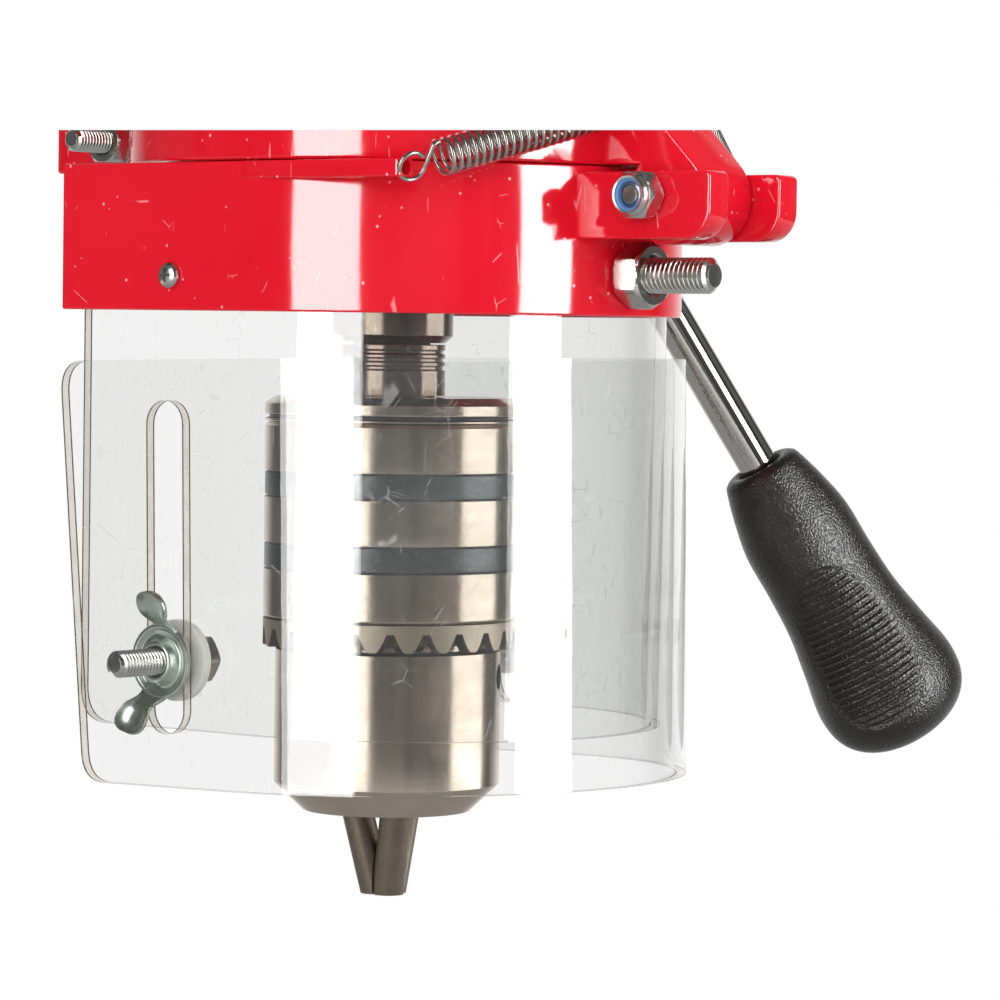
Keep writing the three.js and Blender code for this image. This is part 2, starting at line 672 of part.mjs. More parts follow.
function makeHolder() {
  const b = band;
  const strip = prism(uOutline(b.radius, b.wall, b.center, b.back), b.bottom, b.top, 24);
  const parts = [];
  for (const side of [-1, 1]) {
    parts.push(makeEar(side), makeLedge(side));
  }
  const tools = [
    rodAlong('x', hinge.radius + boltGap, -2 * ear.outer, 2 * ear.outer, 24).translate(0, hinge.y, hinge.z),
    rodAlong('y', stopBolt.radius + boltGap, -acrossGuard, -innerRadius / 2, 24).translate(0, 0, stopBolt.z),
    drillAcross(holderScrew.radius + boltGap, holderScrew.y, holderScrew.z),
  ];
  for (const side of [-1, 1]) {
    const tabHole = rodAlong('y', ledge.holeRadius, ledge.front - 1, ledge.front + ledge.tab + 3, 12);
    tools.push(tabHole.translate(side * (b.radius - 2.6), 0, b.top - ledge.thickness / 2));
  }
  return cut(join(strip, ...parts), ...tools);
}

function makeEar(side) {
  const e = ear;
  const root = band.center - band.radius + 3.4;
  const shape = new THREE.Shape();
  shape.moveTo(root, e.bottom);
  shape.lineTo(root, e.top);
  shape.lineTo(e.front + e.topCorner, e.top);
  shape.quadraticCurveTo(e.front, e.top, e.front, e.top - e.topCorner);
  shape.lineTo(e.front, e.bottom + e.corner);
  shape.quadraticCurveTo(e.front, e.bottom, e.front + e.corner, e.bottom);
  shape.closePath();
  const start = side < 0 ? -e.outer : e.inner;
  return sidePrism(shape, start, start + e.outer - e.inner);
}

// Flat corner web that carries the spring's tab in front of the band's curve
function makeLedge(side) {
  const width = band.radius;
  const front = ledge.front;
  const angle = Math.asin((front + ledge.tab + 6 - band.center) / (band.radius - 1));
  const shape = new THREE.Shape();
  shape.moveTo(-width, band.center + 4);
  shape.lineTo(-width, front);
  shape.lineTo(-width + 5.2, front);
  shape.lineTo(-width + 5.2, front + ledge.tab);
  shape.lineTo(-(band.radius - 1) * Math.cos(angle), front + ledge.tab + 6);
  shape.absarc(0, band.center, band.radius - 1, Math.PI - angle, Math.PI, true);
  shape.lineTo(-(band.radius - 1), band.center + 4);
  shape.closePath();
  const web = prism(shape, band.top - ledge.thickness, band.top);
  return side < 0 ? web : mirrorX(web);
}

function mirrorX(geometry) {
  const mirrored = geometry.clone().scale(-1, 1, 1);
  const flat = mirrored.index ? mirrored.toNonIndexed() : mirrored;
  const position = flat.attributes.position;
  for (let corner = 0; corner < position.count; corner += 3) {
    const [x, y, z] = [position.getX(corner), position.getY(corner), position.getZ(corner)];
    position.setXYZ(corner, position.getX(corner + 1), position.getY(corner + 1), position.getZ(corner + 1));
    position.setXYZ(corner + 1, x, y, z);
  }
  return flat;
}

function makeInnerShield() {
  const s = innerShield;
  const strip = prism(uOutline(innerRadius, s.wall, band.center, s.back), s.bottom, s.top, 24);
  const side = shieldSide(-acrossGuard, s.back, s.back, s.top, s.bottom, s.corner);
  return cut(
    common(strip, sidePrism(side, -acrossGuard, acrossGuard, 6)),
    rodAlong('y', stopBolt.radius + boltGap, -acrossGuard, -innerRadius / 2, 24).translate(0, 0, stopBolt.z),
    drillAcross(holderScrew.radius + boltGap, holderScrew.y, holderScrew.z),
    drillAcross(shieldBolt.radius + boltGap, shieldBolt.y, shieldBolt.z),
  );
}

// Made with its wing bolts' line at the local origin, so that the group's turn is its small tilt
function makeOuterShield() {
  const s = outerShield;
  const strip = prism(uOutline(outerRadius, s.wall, band.center, s.backTop + 1), s.bottom, s.top, 24);
  const side = shieldSide(-acrossGuard, s.backTop, s.backBottom, s.top, s.bottom, s.corner);
  const slot = new THREE.Path();
  slot.absarc(shieldBolt.y, s.slotTop - s.slotRadius, s.slotRadius, 0, Math.PI, false);
  slot.absarc(shieldBolt.y, s.slotBottom + s.slotRadius, s.slotRadius, Math.PI, 2 * Math.PI, false);
  slot.closePath();
  side.holes.push(slot);
  const sheet = common(strip, sidePrism(side, -acrossGuard, acrossGuard, 8));
  return sheet.translate(0, -shieldBolt.y, -shieldBolt.z);
}

function makeStopBolt() {
  const curve = innerRadius - innerShield.wall;
  const inside = band.center - Math.sqrt(curve ** 2 - stopBolt.nut ** 2) + seatGap;
  const head = hexAlong('y', stopBolt.nut, inside, inside + stopBolt.headHeight);
  const shank = lathe([
    [0, stopBolt.end], [stopBolt.radius - 1, stopBolt.end], [stopBolt.radius, stopBolt.end + 1],
    [stopBolt.radius, inside + 1], [0, inside + 1],
  ], 20);
  return join(head, turnTo('y', shank));
}

function makeStopNut() {
  const face = band.center - band.radius - seatGap;
  const hex = hexAlong('y', stopBolt.nut, face - stopBolt.nutHeight, face);
  return cut(hex, rodAlong('y', stopBolt.radius + slideGap, face - stopBolt.nutHeight - 1, face + 1, 24));
}

function makeHingeBolt() {
  const face = ear.outer + seatGap;
  const head = hexAlong('x', hinge.nut, face, face + hinge.headHeight);
  const shank = rodAlong('x', hinge.radius, -face - hinge.nutHeight + 1, face + 1, 24);
  return join(head, shank);
}

function makeHingeNut() {
  const face = -ear.outer - seatGap;
  return hexNut(hinge.nut, hinge.radius + slideGap, face - hinge.nutHeight, face);
}

function makeHolderScrew() {
  const face = band.radius + seatGap;
  const inside = innerRadius - innerShield.wall - seatGap - holderScrew.nutHeight - 0.6;
  return turnTo('x', lathe([
    [0, inside], [holderScrew.radius, inside], [holderScrew.radius, face], [holderScrew.headRadius, face],
    [holderScrew.headRadius * 0.8, face + holderScrew.headHeight * 0.75], [0, face + holderScrew.headHeight],
  ], 12));
}

function makeHolderNut() {
  const face = innerRadius - innerShield.wall - seatGap;
  return hexNut(holderScrew.nut, holderScrew.radius + slideGap, face - holderScrew.nutHeight, face);
}

function makeShieldBolt() {
  const face = innerRadius - innerShield.wall - seatGap;
  const head = hexAlong('x', shieldBolt.head, face - shieldBolt.headHeight, face);
  const shank = rodAlong('x', shieldBolt.radius, face - 1, outerRadius + shieldBolt.reach, 24);
  return join(head, shank);
}

function makeSpacer() {
  const start = innerRadius + seatGap;
  return ringAlongX(spacer.radius, spacer.hole, start, innerRadius + outerShield.gap - seatGap);
}

// Pressed wing nut: a flanged hub and two thin wings that lean outward
function makeWingNut() {
  const w = wingNut;
  const body = turnTo('x', lathe([
    [0, 0], [w.radius, 0], [w.radius, w.disc], [w.hubRadius, w.disc + 0.6],
    [w.hubRadius - 1, w.hubHeight], [0, w.hubHeight],
  ], 24));
  const wings = [];
  for (const side of [-1, 1]) {
    const lobeStart = w.span - 2 * w.lobe;
    const shape = new THREE.Shape();
    shape.moveTo(2, -w.neck);
    shape.lineTo(lobeStart, -w.neck);
    shape.absarc(w.span - w.lobe, 0, w.lobe, -0.8 * Math.PI, 0.8 * Math.PI, false);
    shape.lineTo(lobeStart, w.neck);
    shape.lineTo(2, w.neck);
    shape.closePath();
    const blade = prism(shape, 0, w.wing, 6)
      .rotateY(-w.tilt)
      .translate(0, 0, w.disc + 0.8);
    wings.push(turnTo('x', blade.rotateZ(side < 0 ? Math.PI : 0)));
  }
  const hole = rodAlong('x', shieldBolt.radius + runningGap, -1, w.hubHeight + 6, 20);
  return cut(join(body, ...wings), hole);
}

// Closed-coil extension spring as its outer envelope, with a straight hook wire at each end
function makeGuardSpring(from, to) {
  const length = from.distanceTo(to);
  const coils = rodAlong('z', guardSpring.coilRadius, guardSpring.startGap, length - guardSpring.endGap, 20);
  const hooks = rodAlong('z', guardSpring.wire, 1.2, length - 3, 10);
  const direction = to.clone().sub(from).normalize();
  const turn = new THREE.Quaternion().setFromUnitVectors(new THREE.Vector3(0, 0, 1), direction);
  return join(coils, hooks).applyQuaternion(turn).translate(from.x, from.y, from.z);
}

// ---------- assembly ----------

const pinionPlace = [0, feedAxisY, feedAxisZ];
const leftTurn = (geometry) => geometry.rotateZ(Math.PI);

const quillGroup = group([0, 0, 0],
  piece('quill', 'steel', makeQuill()),
  piece('lower_bearing', 'steel', makeLowerBearing()),
  piece('upper_bearing', 'steel', makeUpperBearing()),
  piece('bearing_retainer', 'blackSteel', makeRetainer()),
);

const spindleGroup = group([0, 0, 0],
  piece('spindle', 'steel', makeSpindle()),
  piece('spindle_lock_nut', 'blackSteel', makeLockNut()),
  piece('chuck_arbor', 'steel', makeArbor()),
  piece('chuck_body', 'steel', makeChuckBody()),
  piece('chuck_sleeve', 'steel', makeSleeve()),
  piece('chuck_ring_nut', 'steel', makeRingNut()),
);
for (let index = 0; index < jaw.count; index += 1) {
  spindleGroup.add(piece(`chuck_jaw_${index + 1}`, 'steel', makeJaw(index)));
}

const feedGroup = group(pinionPlace,
  piece('pinion_shaft', 'steel', makePinionShaft()),
  piece('feed_hub', 'chrome', makeHub()),
  piece('hub_screw', 'zinc', makeHubScrew()),
);
for (let index = 0; index < rod.count; index += 1) {
  feedGroup.add(piece(`feed_rod_${index + 1}`, 'chrome', makeFeedRod(index)));
  feedGroup.add(piece(`feed_grip_${index + 1}`, 'grip', makeGrip(index)));
}

const headGroup = group([0, 0, 0],
  piece('quill_housing', 'redPaint', makeHousing()),
  group(pinionPlace,
    piece('pinion_bush_left', 'bronze', makePinionBush(-1)),
    piece('pinion_bush_right', 'bronze', makePinionBush(1)),
    piece('spring_cup', 'blackSteel', makeSpringCup()),
    piece('return_spring', 'steel', makeReturnSpring()),
    piece('spring_cup_nut', 'zinc', makeCupNut()),
  ),
  piece('clamp_collar', 'redPlastic', makeCollar()),
  group([0, lug.boltY, lug.boltZ],
    piece('clamp_bolt', 'zinc', makeClampBolt()),
    piece('clamp_washer', 'zinc', makeClampWasher()),
    piece('clamp_nut', 'zinc', makeClampNut()),
  ),
  group([0, springPin.y, springPin.z],
    piece('spring_pin', 'zinc', makeSpringPin()),
  ),
);

const guardGroup = group([0, 0, 0],
  piece('guard_holder', 'redPlastic', makeHolder()),
  piece('inner_shield', 'clearPlastic', makeInnerShield()),
  group([0, hinge.y, hinge.z],
    piece('hinge_bolt', 'zinc', makeHingeBolt()),
    piece('hinge_nut', 'zinc', makeHingeNut()),
  ),
  group([0, 0, stopBolt.z],
    piece('stop_bolt', 'zinc', makeStopBolt()),
    piece('stop_nut', 'zinc', makeStopNut()),
  ),
  group([0, holderScrew.y, holderScrew.z],
    piece('holder_screw_right', 'zinc', makeHolderScrew()),
    piece('holder_nut_right', 'zinc', makeHolderNut()),
    piece('holder_screw_left', 'zinc', leftTurn(makeHolderScrew())),
    piece('holder_nut_left', 'zinc', leftTurn(makeHolderNut())),
  ),
  group([0, shieldBolt.y, shieldBolt.z],
    piece('shield_bolt_right', 'zinc', makeShieldBolt()),
    piece('shield_spacer_right', 'clearPlastic', makeSpacer()),
    piece('shield_bolt_left', 'zinc', leftTurn(makeShieldBolt())),
    piece('shield_spacer_left', 'clearPlastic', leftTurn(makeSpacer())),
  ),
);

const outerShieldGroup = group([0, shieldBolt.y, shieldBolt.z],
  piece('outer_shield', 'clearPlastic', makeOuterShield()),
);
outerShieldGroup.rotation.x = -outerShield.tilt;

const wingNutX = outerRadius + seatGap;
const wingNutGroup = group([0, shieldBolt.y, shieldBolt.z],
  piece('wing_nut_right', 'zinc', makeWingNut().translate(wingNutX, 0, 0)),
  piece('wing_nut_left', 'zinc', leftTurn(makeWingNut().translate(wingNutX, 0, 0))),
);

const springGroup = new THREE.Group();
for (const [side, name] of [[-1, 'left'], [1, 'right']]) {
  const tab = new THREE.Vector3(side * (band.radius - 2.6), ledge.front, band.top - ledge.thickness / 2);
  const anchor = new THREE.Vector3(side * guardSpring.anchorX, springPin.y, springPin.z);
  springGroup.add(piece(`guard_spring_${name}`, 'zinc', makeGuardSpring(tab, anchor)));
}

const drillPressHead = group([0, 0, 0],
  headGroup, quillGroup, spindleGroup, feedGroup, guardGroup, outerShieldGroup, wingNutGroup, springGroup,
);
drillPressHead.name = 'drill_press_head';

export default drillPressHead;
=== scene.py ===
# Head end of a drill press with its sprung chuck guard, keyed chuck and hand feed.
# Pieces are drawn in millimetres in the row frame and turned into metres once, when their mesh is made.

import json
import math

import bmesh
import bpy
from mathutils import Matrix, Vector


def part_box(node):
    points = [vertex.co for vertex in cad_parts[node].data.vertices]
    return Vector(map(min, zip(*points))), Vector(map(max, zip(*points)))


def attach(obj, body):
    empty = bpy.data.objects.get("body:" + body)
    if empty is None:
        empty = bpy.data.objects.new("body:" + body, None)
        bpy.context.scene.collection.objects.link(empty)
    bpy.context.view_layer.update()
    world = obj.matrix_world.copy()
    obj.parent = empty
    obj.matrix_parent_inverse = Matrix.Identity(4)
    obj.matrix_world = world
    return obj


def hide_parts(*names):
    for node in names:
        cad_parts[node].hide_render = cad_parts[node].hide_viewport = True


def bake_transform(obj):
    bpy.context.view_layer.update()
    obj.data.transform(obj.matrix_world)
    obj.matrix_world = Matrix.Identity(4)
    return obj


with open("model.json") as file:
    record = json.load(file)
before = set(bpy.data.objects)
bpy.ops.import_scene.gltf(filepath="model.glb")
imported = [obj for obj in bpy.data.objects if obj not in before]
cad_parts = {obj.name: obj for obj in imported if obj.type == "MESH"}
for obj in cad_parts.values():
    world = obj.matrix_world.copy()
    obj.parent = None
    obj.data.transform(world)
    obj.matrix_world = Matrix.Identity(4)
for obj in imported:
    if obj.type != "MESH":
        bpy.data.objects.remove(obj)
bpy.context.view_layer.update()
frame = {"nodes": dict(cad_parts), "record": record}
mm = 0.001
sameSpot = 0.001  # points closer than this, in millimetres, are one
edgeAngle = 32  # faces that meet at more than this, in degrees, keep a sharp edge


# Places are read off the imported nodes, so that a moved node takes its visual piece along
def boxOf(node):
    low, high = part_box(node)
    return Vector(low) / mm, Vector(high) / mm


def middleOf(node):
    low, high = boxOf(node)
    return (low + high) / 2


def reachOf(node, axis):
    low, high = boxOf(node)
    return low[axis], high[axis]


# Shader helpers: a wire does its own arithmetic, and a paint adds every other node through add()
class Wire:
    def __init__(self, tree, socket):
        self.tree = tree
        self.socket = socket

    def math(self, operation, *others, clamp=False):
        node = self.tree.nodes.new("ShaderNodeMath")
        node.operation = operation
        node.use_clamp = clamp
        for index, value in enumerate((self, *others)):
            plug(self.tree, node.inputs[index], value)
        return Wire(self.tree, node.outputs[0])

    def __add__(self, other):
        return self.math("ADD", other)

    def __mul__(self, other):
        return self.math("MULTIPLY", other)

    def __sub__(self, other):
        return self.math("SUBTRACT", other)

    def __rsub__(self, other):
        return self.math("MULTIPLY", -1).math("ADD", other)

    __radd__ = __add__
    __rmul__ = __mul__

    def above(self, edge, soft):
        return self.math("SUBTRACT", edge).math("DIVIDE", soft).math("ADD", 0.5, clamp=True)

    def below(self, edge, soft):
        return 1 - self.above(edge, soft)


def plug(tree, socket, value):
    if isinstance(value, Wire):
        tree.links.new(value.socket, socket)
    elif hasattr(value, "__len__") and len(value) == 3 and len(socket.default_value) == 4:
        socket.default_value = (*value, 1)
    else:
        socket.default_value = value


class Paint:
    def __init__(self, name, shelf="materials"):
        self.owner = getattr(bpy.data, shelf).new(name)
        self.owner.use_nodes = True
        self.tree = self.owner.node_tree
        self.tree.nodes.clear()
        if shelf == "materials":
            self.spot = self.add("ShaderNodeTexCoord", output="Object")
            self.spot = self.scaled(1 / mm, 1 / mm, 1 / mm)

    def add(self, kind, settings=None, inputs=None, output=0):
        node = self.tree.nodes.new(kind)
        for key, value in (settings or {}).items():
            setattr(node, key, value)
        for key, value in (inputs or {}).items():
            plug(self.tree, node.inputs[key], value)
        return Wire(self.tree, node.outputs[output]) if len(node.outputs) else None

    def scaled(self, x, y, z):
        return self.add("ShaderNodeVectorMath", {"operation": "MULTIPLY"}, {0: self.spot, 1: (x, y, z)})

    def axis(self, letter):
        return self.add("ShaderNodeSeparateXYZ", None, {0: self.spot}, letter)

    def noise(self, scale, detail=3, spot=None):
        values = {"Vector": spot or self.spot, "Scale": scale, "Detail": detail}
        return self.add("ShaderNodeTexNoise", None, values)

    def cells(self, scale, feature="F1", spot=None):
        values = {"Vector": spot or self.spot, "Scale": scale}
        return self.add("ShaderNodeTexVoronoi", {"feature": feature}, values)

    def mix(self, factor, first, second):
        return self.add("ShaderNodeMix", {"data_type": "RGBA"}, {0: factor, 6: first, 7: second}, 2)

    def bump(self, height, distance, strength=1.0):
        values = {"Height": height, "Distance": distance * mm, "Strength": strength}
        return self.add("ShaderNodeBump", None, values)

    def surface(self, **values):
        named = {key.replace("_", " "): value for key, value in values.items()}
        return self.add("ShaderNodeBsdfPrincipled", None, named)

    def blend(self, factor, first, second):
        return self.add("ShaderNodeMixShader", None, {0: factor, 1: first, 2: second})

    def done(self, surface, output="ShaderNodeOutputMaterial"):
        self.add(output, None, {"Surface": surface})
        return self.owner


def scratchMask(paint, width=0.009, share=0.7):
    total = None
    for turn, length in ((0.4, 90), (1.3, 60), (2.3, 75)):
        values = {"Vector": paint.spot, "Rotation": (turn, turn * 0.7, turn * 1.7), "Scale": (length, 7, 7)}
        spot = paint.add("ShaderNodeMapping", {"vector_type": "TEXTURE"}, values)
        lines = paint.cells(1.0, "DISTANCE_TO_EDGE", spot).below(width, width * 0.8)
        lines = lines * paint.noise(0.11, 1, paint.scaled(1 + turn, 1, 1)).above(share, 0.04)
        total = lines if total is None else total.math("MAXIMUM", lines)
    return total


redPlasticLook = {
    "deep": (0.70, 0.004, 0.016), "bright": (0.80, 0.012, 0.030), "scuff": (0.93, 0.42, 0.42),
    "roughness": 0.05, "scratches": 0.5,
}


def makeRedPlastic():
    look = redPlasticLook
    paint = Paint("redPlastic")
    speck = paint.cells(0.28).below(0.09, 0.05) * paint.noise(0.1, 2).above(0.5, 0.06)
    marks = (scratchMask(paint) * look["scratches"]).math("MAXIMUM", speck * 0.8)
    color = paint.mix(paint.noise(0.02, 2), look["deep"], look["bright"])
    color = paint.mix(marks, color, look["scuff"])
    height = paint.noise(0.03, 1) * 1.0 + paint.noise(0.5, 2) * 0.02 - marks * 0.04
    return paint.done(paint.surface(
        Base_Color=color, Roughness=paint.noise(0.25, 3) * 0.06 + marks * 0.25 + look["roughness"],
        IOR=1.5, Normal=paint.bump(height, 0.5, 0.25)))


redPaintLook = {"deep": (0.56, 0.004, 0.012), "bright": (0.64, 0.007, 0.018), "grain": 0.3, "roughness": 0.16}


def makeRedPaint():
    look = redPaintLook
    paint = Paint("redPaint")
    grain = paint.noise(look["grain"], 4)
    color = paint.mix(paint.noise(0.03, 2), look["deep"], look["bright"])
    chips = paint.cells(0.09).below(0.05, 0.02)
    color = paint.mix(chips * 0.5, color, (0.25, 0.22, 0.2))
    return paint.done(paint.surface(
        Base_Color=color, Roughness=grain * 0.2 + look["roughness"], Normal=paint.bump(grain, 0.3, 0.4)))


turnedLook = {"light": (0.62, 0.54, 0.455), "shade": (0.37, 0.305, 0.24), "roughness": 0.13,
              "lineDepth": 0.006}
jawLook = {"light": (0.27, 0.23, 0.18), "shade": (0.13, 0.105, 0.08), "roughness": 0.46,
           "lineDepth": 0.03}
bandLook = {"light": (0.13, 0.138, 0.142), "shade": (0.075, 0.082, 0.086), "roughness": 0.26,
            "lineDepth": 0.02}
toothLook = {"light": (0.56, 0.49, 0.39), "shade": (0.40, 0.34, 0.26), "roughness": 0.42,
             "lineDepth": 0.03}
# Dark steel that paints the shade in the chuck's gullets and behind them: painted shade
gulletShadeLook = {"light": (0.16, 0.13, 0.11), "shade": (0.07, 0.055, 0.045), "roughness": 0.5,
              "lineDepth": 0.03}
shaftLook = {"light": (0.28, 0.23, 0.19), "shade": (0.15, 0.115, 0.095), "roughness": 0.1,
             "lineDepth": 0.005}


def makeSteel(name, look, stretch=(0.05, 0.05, 4.0)):
    paint = Paint(name)
    line = paint.noise(1.0, 3, paint.scaled(*stretch))
    stain = paint.noise(0.11, 4).above(0.55, 0.3)
    fleck = paint.noise(2.4, 3).above(0.66, 0.08)
    tone = paint.mix(line * 0.3 + stain * 0.25, look["light"], look["shade"])
    tone = paint.mix(fleck * 0.2, tone, (0.9, 0.88, 0.84))
    return paint.done(paint.surface(
        Base_Color=tone, Metallic=1.0, Roughness=line * 0.08 + stain * 0.04 + look["roughness"],
        Normal=paint.bump(line, look["lineDepth"], 0.6)))


zincLook = {"light": (0.70, 0.70, 0.67), "shade": (0.52, 0.52, 0.49), "roughness": 0.22}
wingLook = {"light": (0.62, 0.68, 0.62), "shade": (0.50, 0.56, 0.50), "roughness": 0.30}
springLook = {"light": (0.56, 0.55, 0.52), "shade": (0.40, 0.39, 0.36), "roughness": 0.22}
chromeLook = {"light": (0.66, 0.64, 0.61), "shade": (0.54, 0.52, 0.49), "roughness": 0.04}


def makePlated(name, look):
    paint = Paint(name)
    cloud = paint.noise(0.3, 3)
    tone = paint.mix(cloud, look["light"], look["shade"])
    return paint.done(paint.surface(
        Base_Color=tone, Metallic=1.0, Roughness=cloud * look["roughness"] + look["roughness"] * 0.5,
        Normal=paint.bump(paint.noise(0.9, 3), 0.03, 0.3)))


gripLook = {
    "deep": (0.006, 0.005, 0.0043), "worn": (0.015, 0.0125, 0.0108), "cell": 1.9, "roughness": 0.22,
    "hide": 0.3,
}


def makeGripPlastic():
    look = gripLook
    paint = Paint("gripPlastic")
    hide = paint.cells(look["cell"], "F1").above(0.4, 0.7) * 0.5 + paint.noise(2.4, 3) * 0.5
    tone = paint.mix(paint.noise(0.08, 3), look["deep"], look["worn"])
    return paint.done(paint.surface(
        Base_Color=tone, Roughness=hide * 0.12 + look["roughness"],
        Normal=paint.bump(hide, look["hide"], 0.8)))


# The rim colours of the clear sheets are painted shade and painted highlight, standing in for refraction
# through the edge
sheetLook = {
    "tint": (0.982, 0.984, 0.981), "ior": 1.49, "haze": (0.80, 0.81, 0.81), "dust": 0.025,
    "edgeDark": (0.20, 0.15, 0.11), "edgeLight": (0.70, 0.66, 0.58), "line": (0.05, 0.035, 0.025),
}


def makeClearSheet():
    look = sheetLook
    paint = Paint("clearSheet")
    back = paint.add("ShaderNodeNewGeometry", output="Backfacing")
    density = look["ior"] - back * (look["ior"] - 1 / look["ior"])
    mirror = paint.add("ShaderNodeFresnel", None, {"IOR": density})
    wave = paint.bump(paint.noise(0.012, 1) + paint.noise(0.05, 2) * 0.2, 1.0, 0.3)
    clear = paint.add("ShaderNodeBsdfTransparent", None, {"Color": look["tint"]})
    shine = paint.add("ShaderNodeBsdfGlossy", None, {"Color": (1, 1, 1), "Roughness": 0.03, "Normal": wave})
    haze = paint.add("ShaderNodeBsdfDiffuse", None, {"Color": look["haze"]})
    dust = paint.noise(0.03, 3).above(0.62, 0.5) * look["dust"] + 0.004
    marks = scratchMask(paint, 0.01, 0.68) * 0.22
    body = paint.blend((dust + marks).math("MINIMUM", 0.6), clear, haze)
    return paint.done(paint.blend(mirror, body, shine))


# The rim face of a sheet: streaks of painted shade and painted highlight, partly clear, in place of
# refraction through the edge
def makeSheetEdge():
    look = sheetLook
    paint = Paint("sheetEdge")
    streak = paint.noise(0.16, 3)
    tone = paint.mix(streak.above(0.42, 0.3), look["edgeDark"], look["edgeLight"])
    solid = paint.surface(Base_Color=tone, Roughness=0.25, Normal=paint.bump(streak, 0.2, 0.3))
    clear = paint.add("ShaderNodeBsdfTransparent", None, {"Color": (0.93, 0.91, 0.87)})
    return paint.done(paint.blend(streak * 0.4 + 0.2, clear, solid))


# Painted shade: a dark line along each side of a clear sheet's rim
def makeSheetRimShade():
    look = sheetLook
    paint = Paint("sheetLine")
    streak = paint.noise(0.3, 2)
    tone = paint.mix(streak, look["line"], look["edgeDark"])
    return paint.done(paint.surface(Base_Color=tone, Roughness=streak * 0.2 + 0.2))


def makePlain(name, light, shade, roughness, metallic=0.0):
    paint = Paint(name)
    cloud = paint.noise(0.5, 3)
    return paint.done(paint.surface(
        Base_Color=paint.mix(cloud, light, shade), Metallic=metallic, Roughness=cloud * 0.12 + roughness,
        Normal=paint.bump(cloud, 0.06, 0.3)))


materials = {
    "redPlastic": makeRedPlastic(),
    "redPaint": makeRedPaint(),
    "turned": makeSteel("turnedSteel", turnedLook),
    "shaft": makeSteel("shaftSteel", shaftLook),
    "jaw": makeSteel("jawSteel", jawLook, (1.6, 1.6, 0.08)),
    "bluedBand": makeSteel("bluedBand", bandLook),
    "tooth": makeSteel("toothSteel", toothLook),
    "gulletShade": makeSteel("gulletSteel", gulletShadeLook),
    "zinc": makePlated("zincPlate", zincLook),
    "wing": makePlated("wingZinc", wingLook),
    "wire": makePlated("springWire", springLook),
    "chrome": makePlated("chromePlate", chromeLook),
    "grip": makeGripPlastic(),
    "nylon": makePlain("nylon", (0.74, 0.74, 0.71), (0.64, 0.64, 0.61), 0.35),
    "sheet": makeClearSheet(),
    "sheetEdge": makeSheetEdge(),
    "sheetLine": makeSheetRimShade(),
    "lockRing": makePlain("lockRing", (0.10, 0.26, 0.55), (0.06, 0.17, 0.4), 0.3),
    "bronze": makePlain("bronze", (0.55, 0.36, 0.16), (0.42, 0.26, 0.11), 0.25, 1.0),
    # Black steel: the real finish of the spring cup, retainer and lock nut, and painted shade in the chuck's
    # grooves
    "black": makePlain("blackSteel", (0.05, 0.05, 0.053), (0.025, 0.025, 0.028), 0.3, 0.7),
}
print("materials ready")


# Mesh helpers
def objectOf(name, mesh):
    piece = bpy.data.objects.new(name, mesh)
    bpy.context.collection.objects.link(piece)
    return piece


def opened(mesh):
    bm = bmesh.new()
    bm.from_mesh(mesh)
    return bm


def written(bm, mesh):
    bm.to_mesh(mesh)
    bm.free()
    return mesh


def smoothed(mesh, angle):
    mesh.shade_smooth()
    mesh.set_sharp_from_angle(angle=math.radians(angle))


def fromBmesh(name, bm, looks, angle=edgeAngle):
    bmesh.ops.remove_doubles(bm, verts=bm.verts, dist=sameSpot)
    bmesh.ops.recalc_face_normals(bm, faces=bm.faces)
    mesh = written(bm, bpy.data.meshes.new(name))
    mesh.transform(Matrix.Scale(mm, 4))
    for look in [looks] if isinstance(looks, str) else looks:
        mesh.materials.append(materials[look])
    smoothed(mesh, angle)
    return objectOf(name, mesh)


def lifted(z):
    return Matrix.Translation((0, 0, z))


def roundZ(count):
    return [2 * math.pi * i / count for i in range(count)]


def ringAt(bm, radius, z, turns):
    return [bm.verts.new((radius * math.cos(a), radius * math.sin(a), z)) for a in turns]


# Closed strips of faces between rows of points; a row of one point is a pole
def stitched(bm, rows, looksAt=None):
    count = max(len(row) for row in rows)
    for first, second in zip(rows, rows[1:]):
        for i in range(count):
            j = (i + 1) % count
            near = [first[i % len(first)], first[j % len(first)]]
            far = [second[j % len(second)], second[i % len(second)]]
            corners = list(dict.fromkeys(near + far))
            if len(corners) > 2:
                face = bm.faces.new(corners)
                if looksAt:
                    face.material_index = looksAt(*face.calc_center_median())


def evaluated(piece):
    bpy.context.view_layer.update()
    graph = bpy.context.evaluated_depsgraph_get()
    return bpy.data.meshes.new_from_object(piece.evaluated_get(graph), depsgraph=graph)


def applied(piece, angle=None):
    mesh = evaluated(piece)
    piece.modifiers.clear()
    piece.data = mesh
    if angle:
        smoothed(mesh, angle)
    return piece


def moved(piece, matrix):
    scaled = matrix.copy()
    scaled.translation = scaled.translation * mm
    piece.data.transform(scaled)
    return piece


def joined(name, parts):
    bpy.ops.object.select_all(action="DESELECT")
    for part in parts:
        part.select_set(True)
    bpy.context.view_layer.objects.active = parts[0]
    if len(parts) > 1:
        bpy.ops.object.join()
    parts[0].name = name
    return parts[0]


def carved(piece, tools, operation="DIFFERENCE"):
    for tool in tools:
        modifier = piece.modifiers.new("carve", "BOOLEAN")
        modifier.operation = operation
        modifier.solver = "EXACT"
        modifier.object = tool
    applied(piece, edgeAngle)
    for tool in tools:
        bpy.data.objects.remove(tool)
    return piece


def softened(piece, width, segments=2, limit=35, angle=45):
    modifier = piece.modifiers.new("soften", "BEVEL")
    modifier.width = width * mm
    modifier.segments = segments
    modifier.limit_method = "ANGLE"
    modifier.angle_limit = math.radians(limit)
    modifier.harden_normals = False
    return applied(piece, angle)


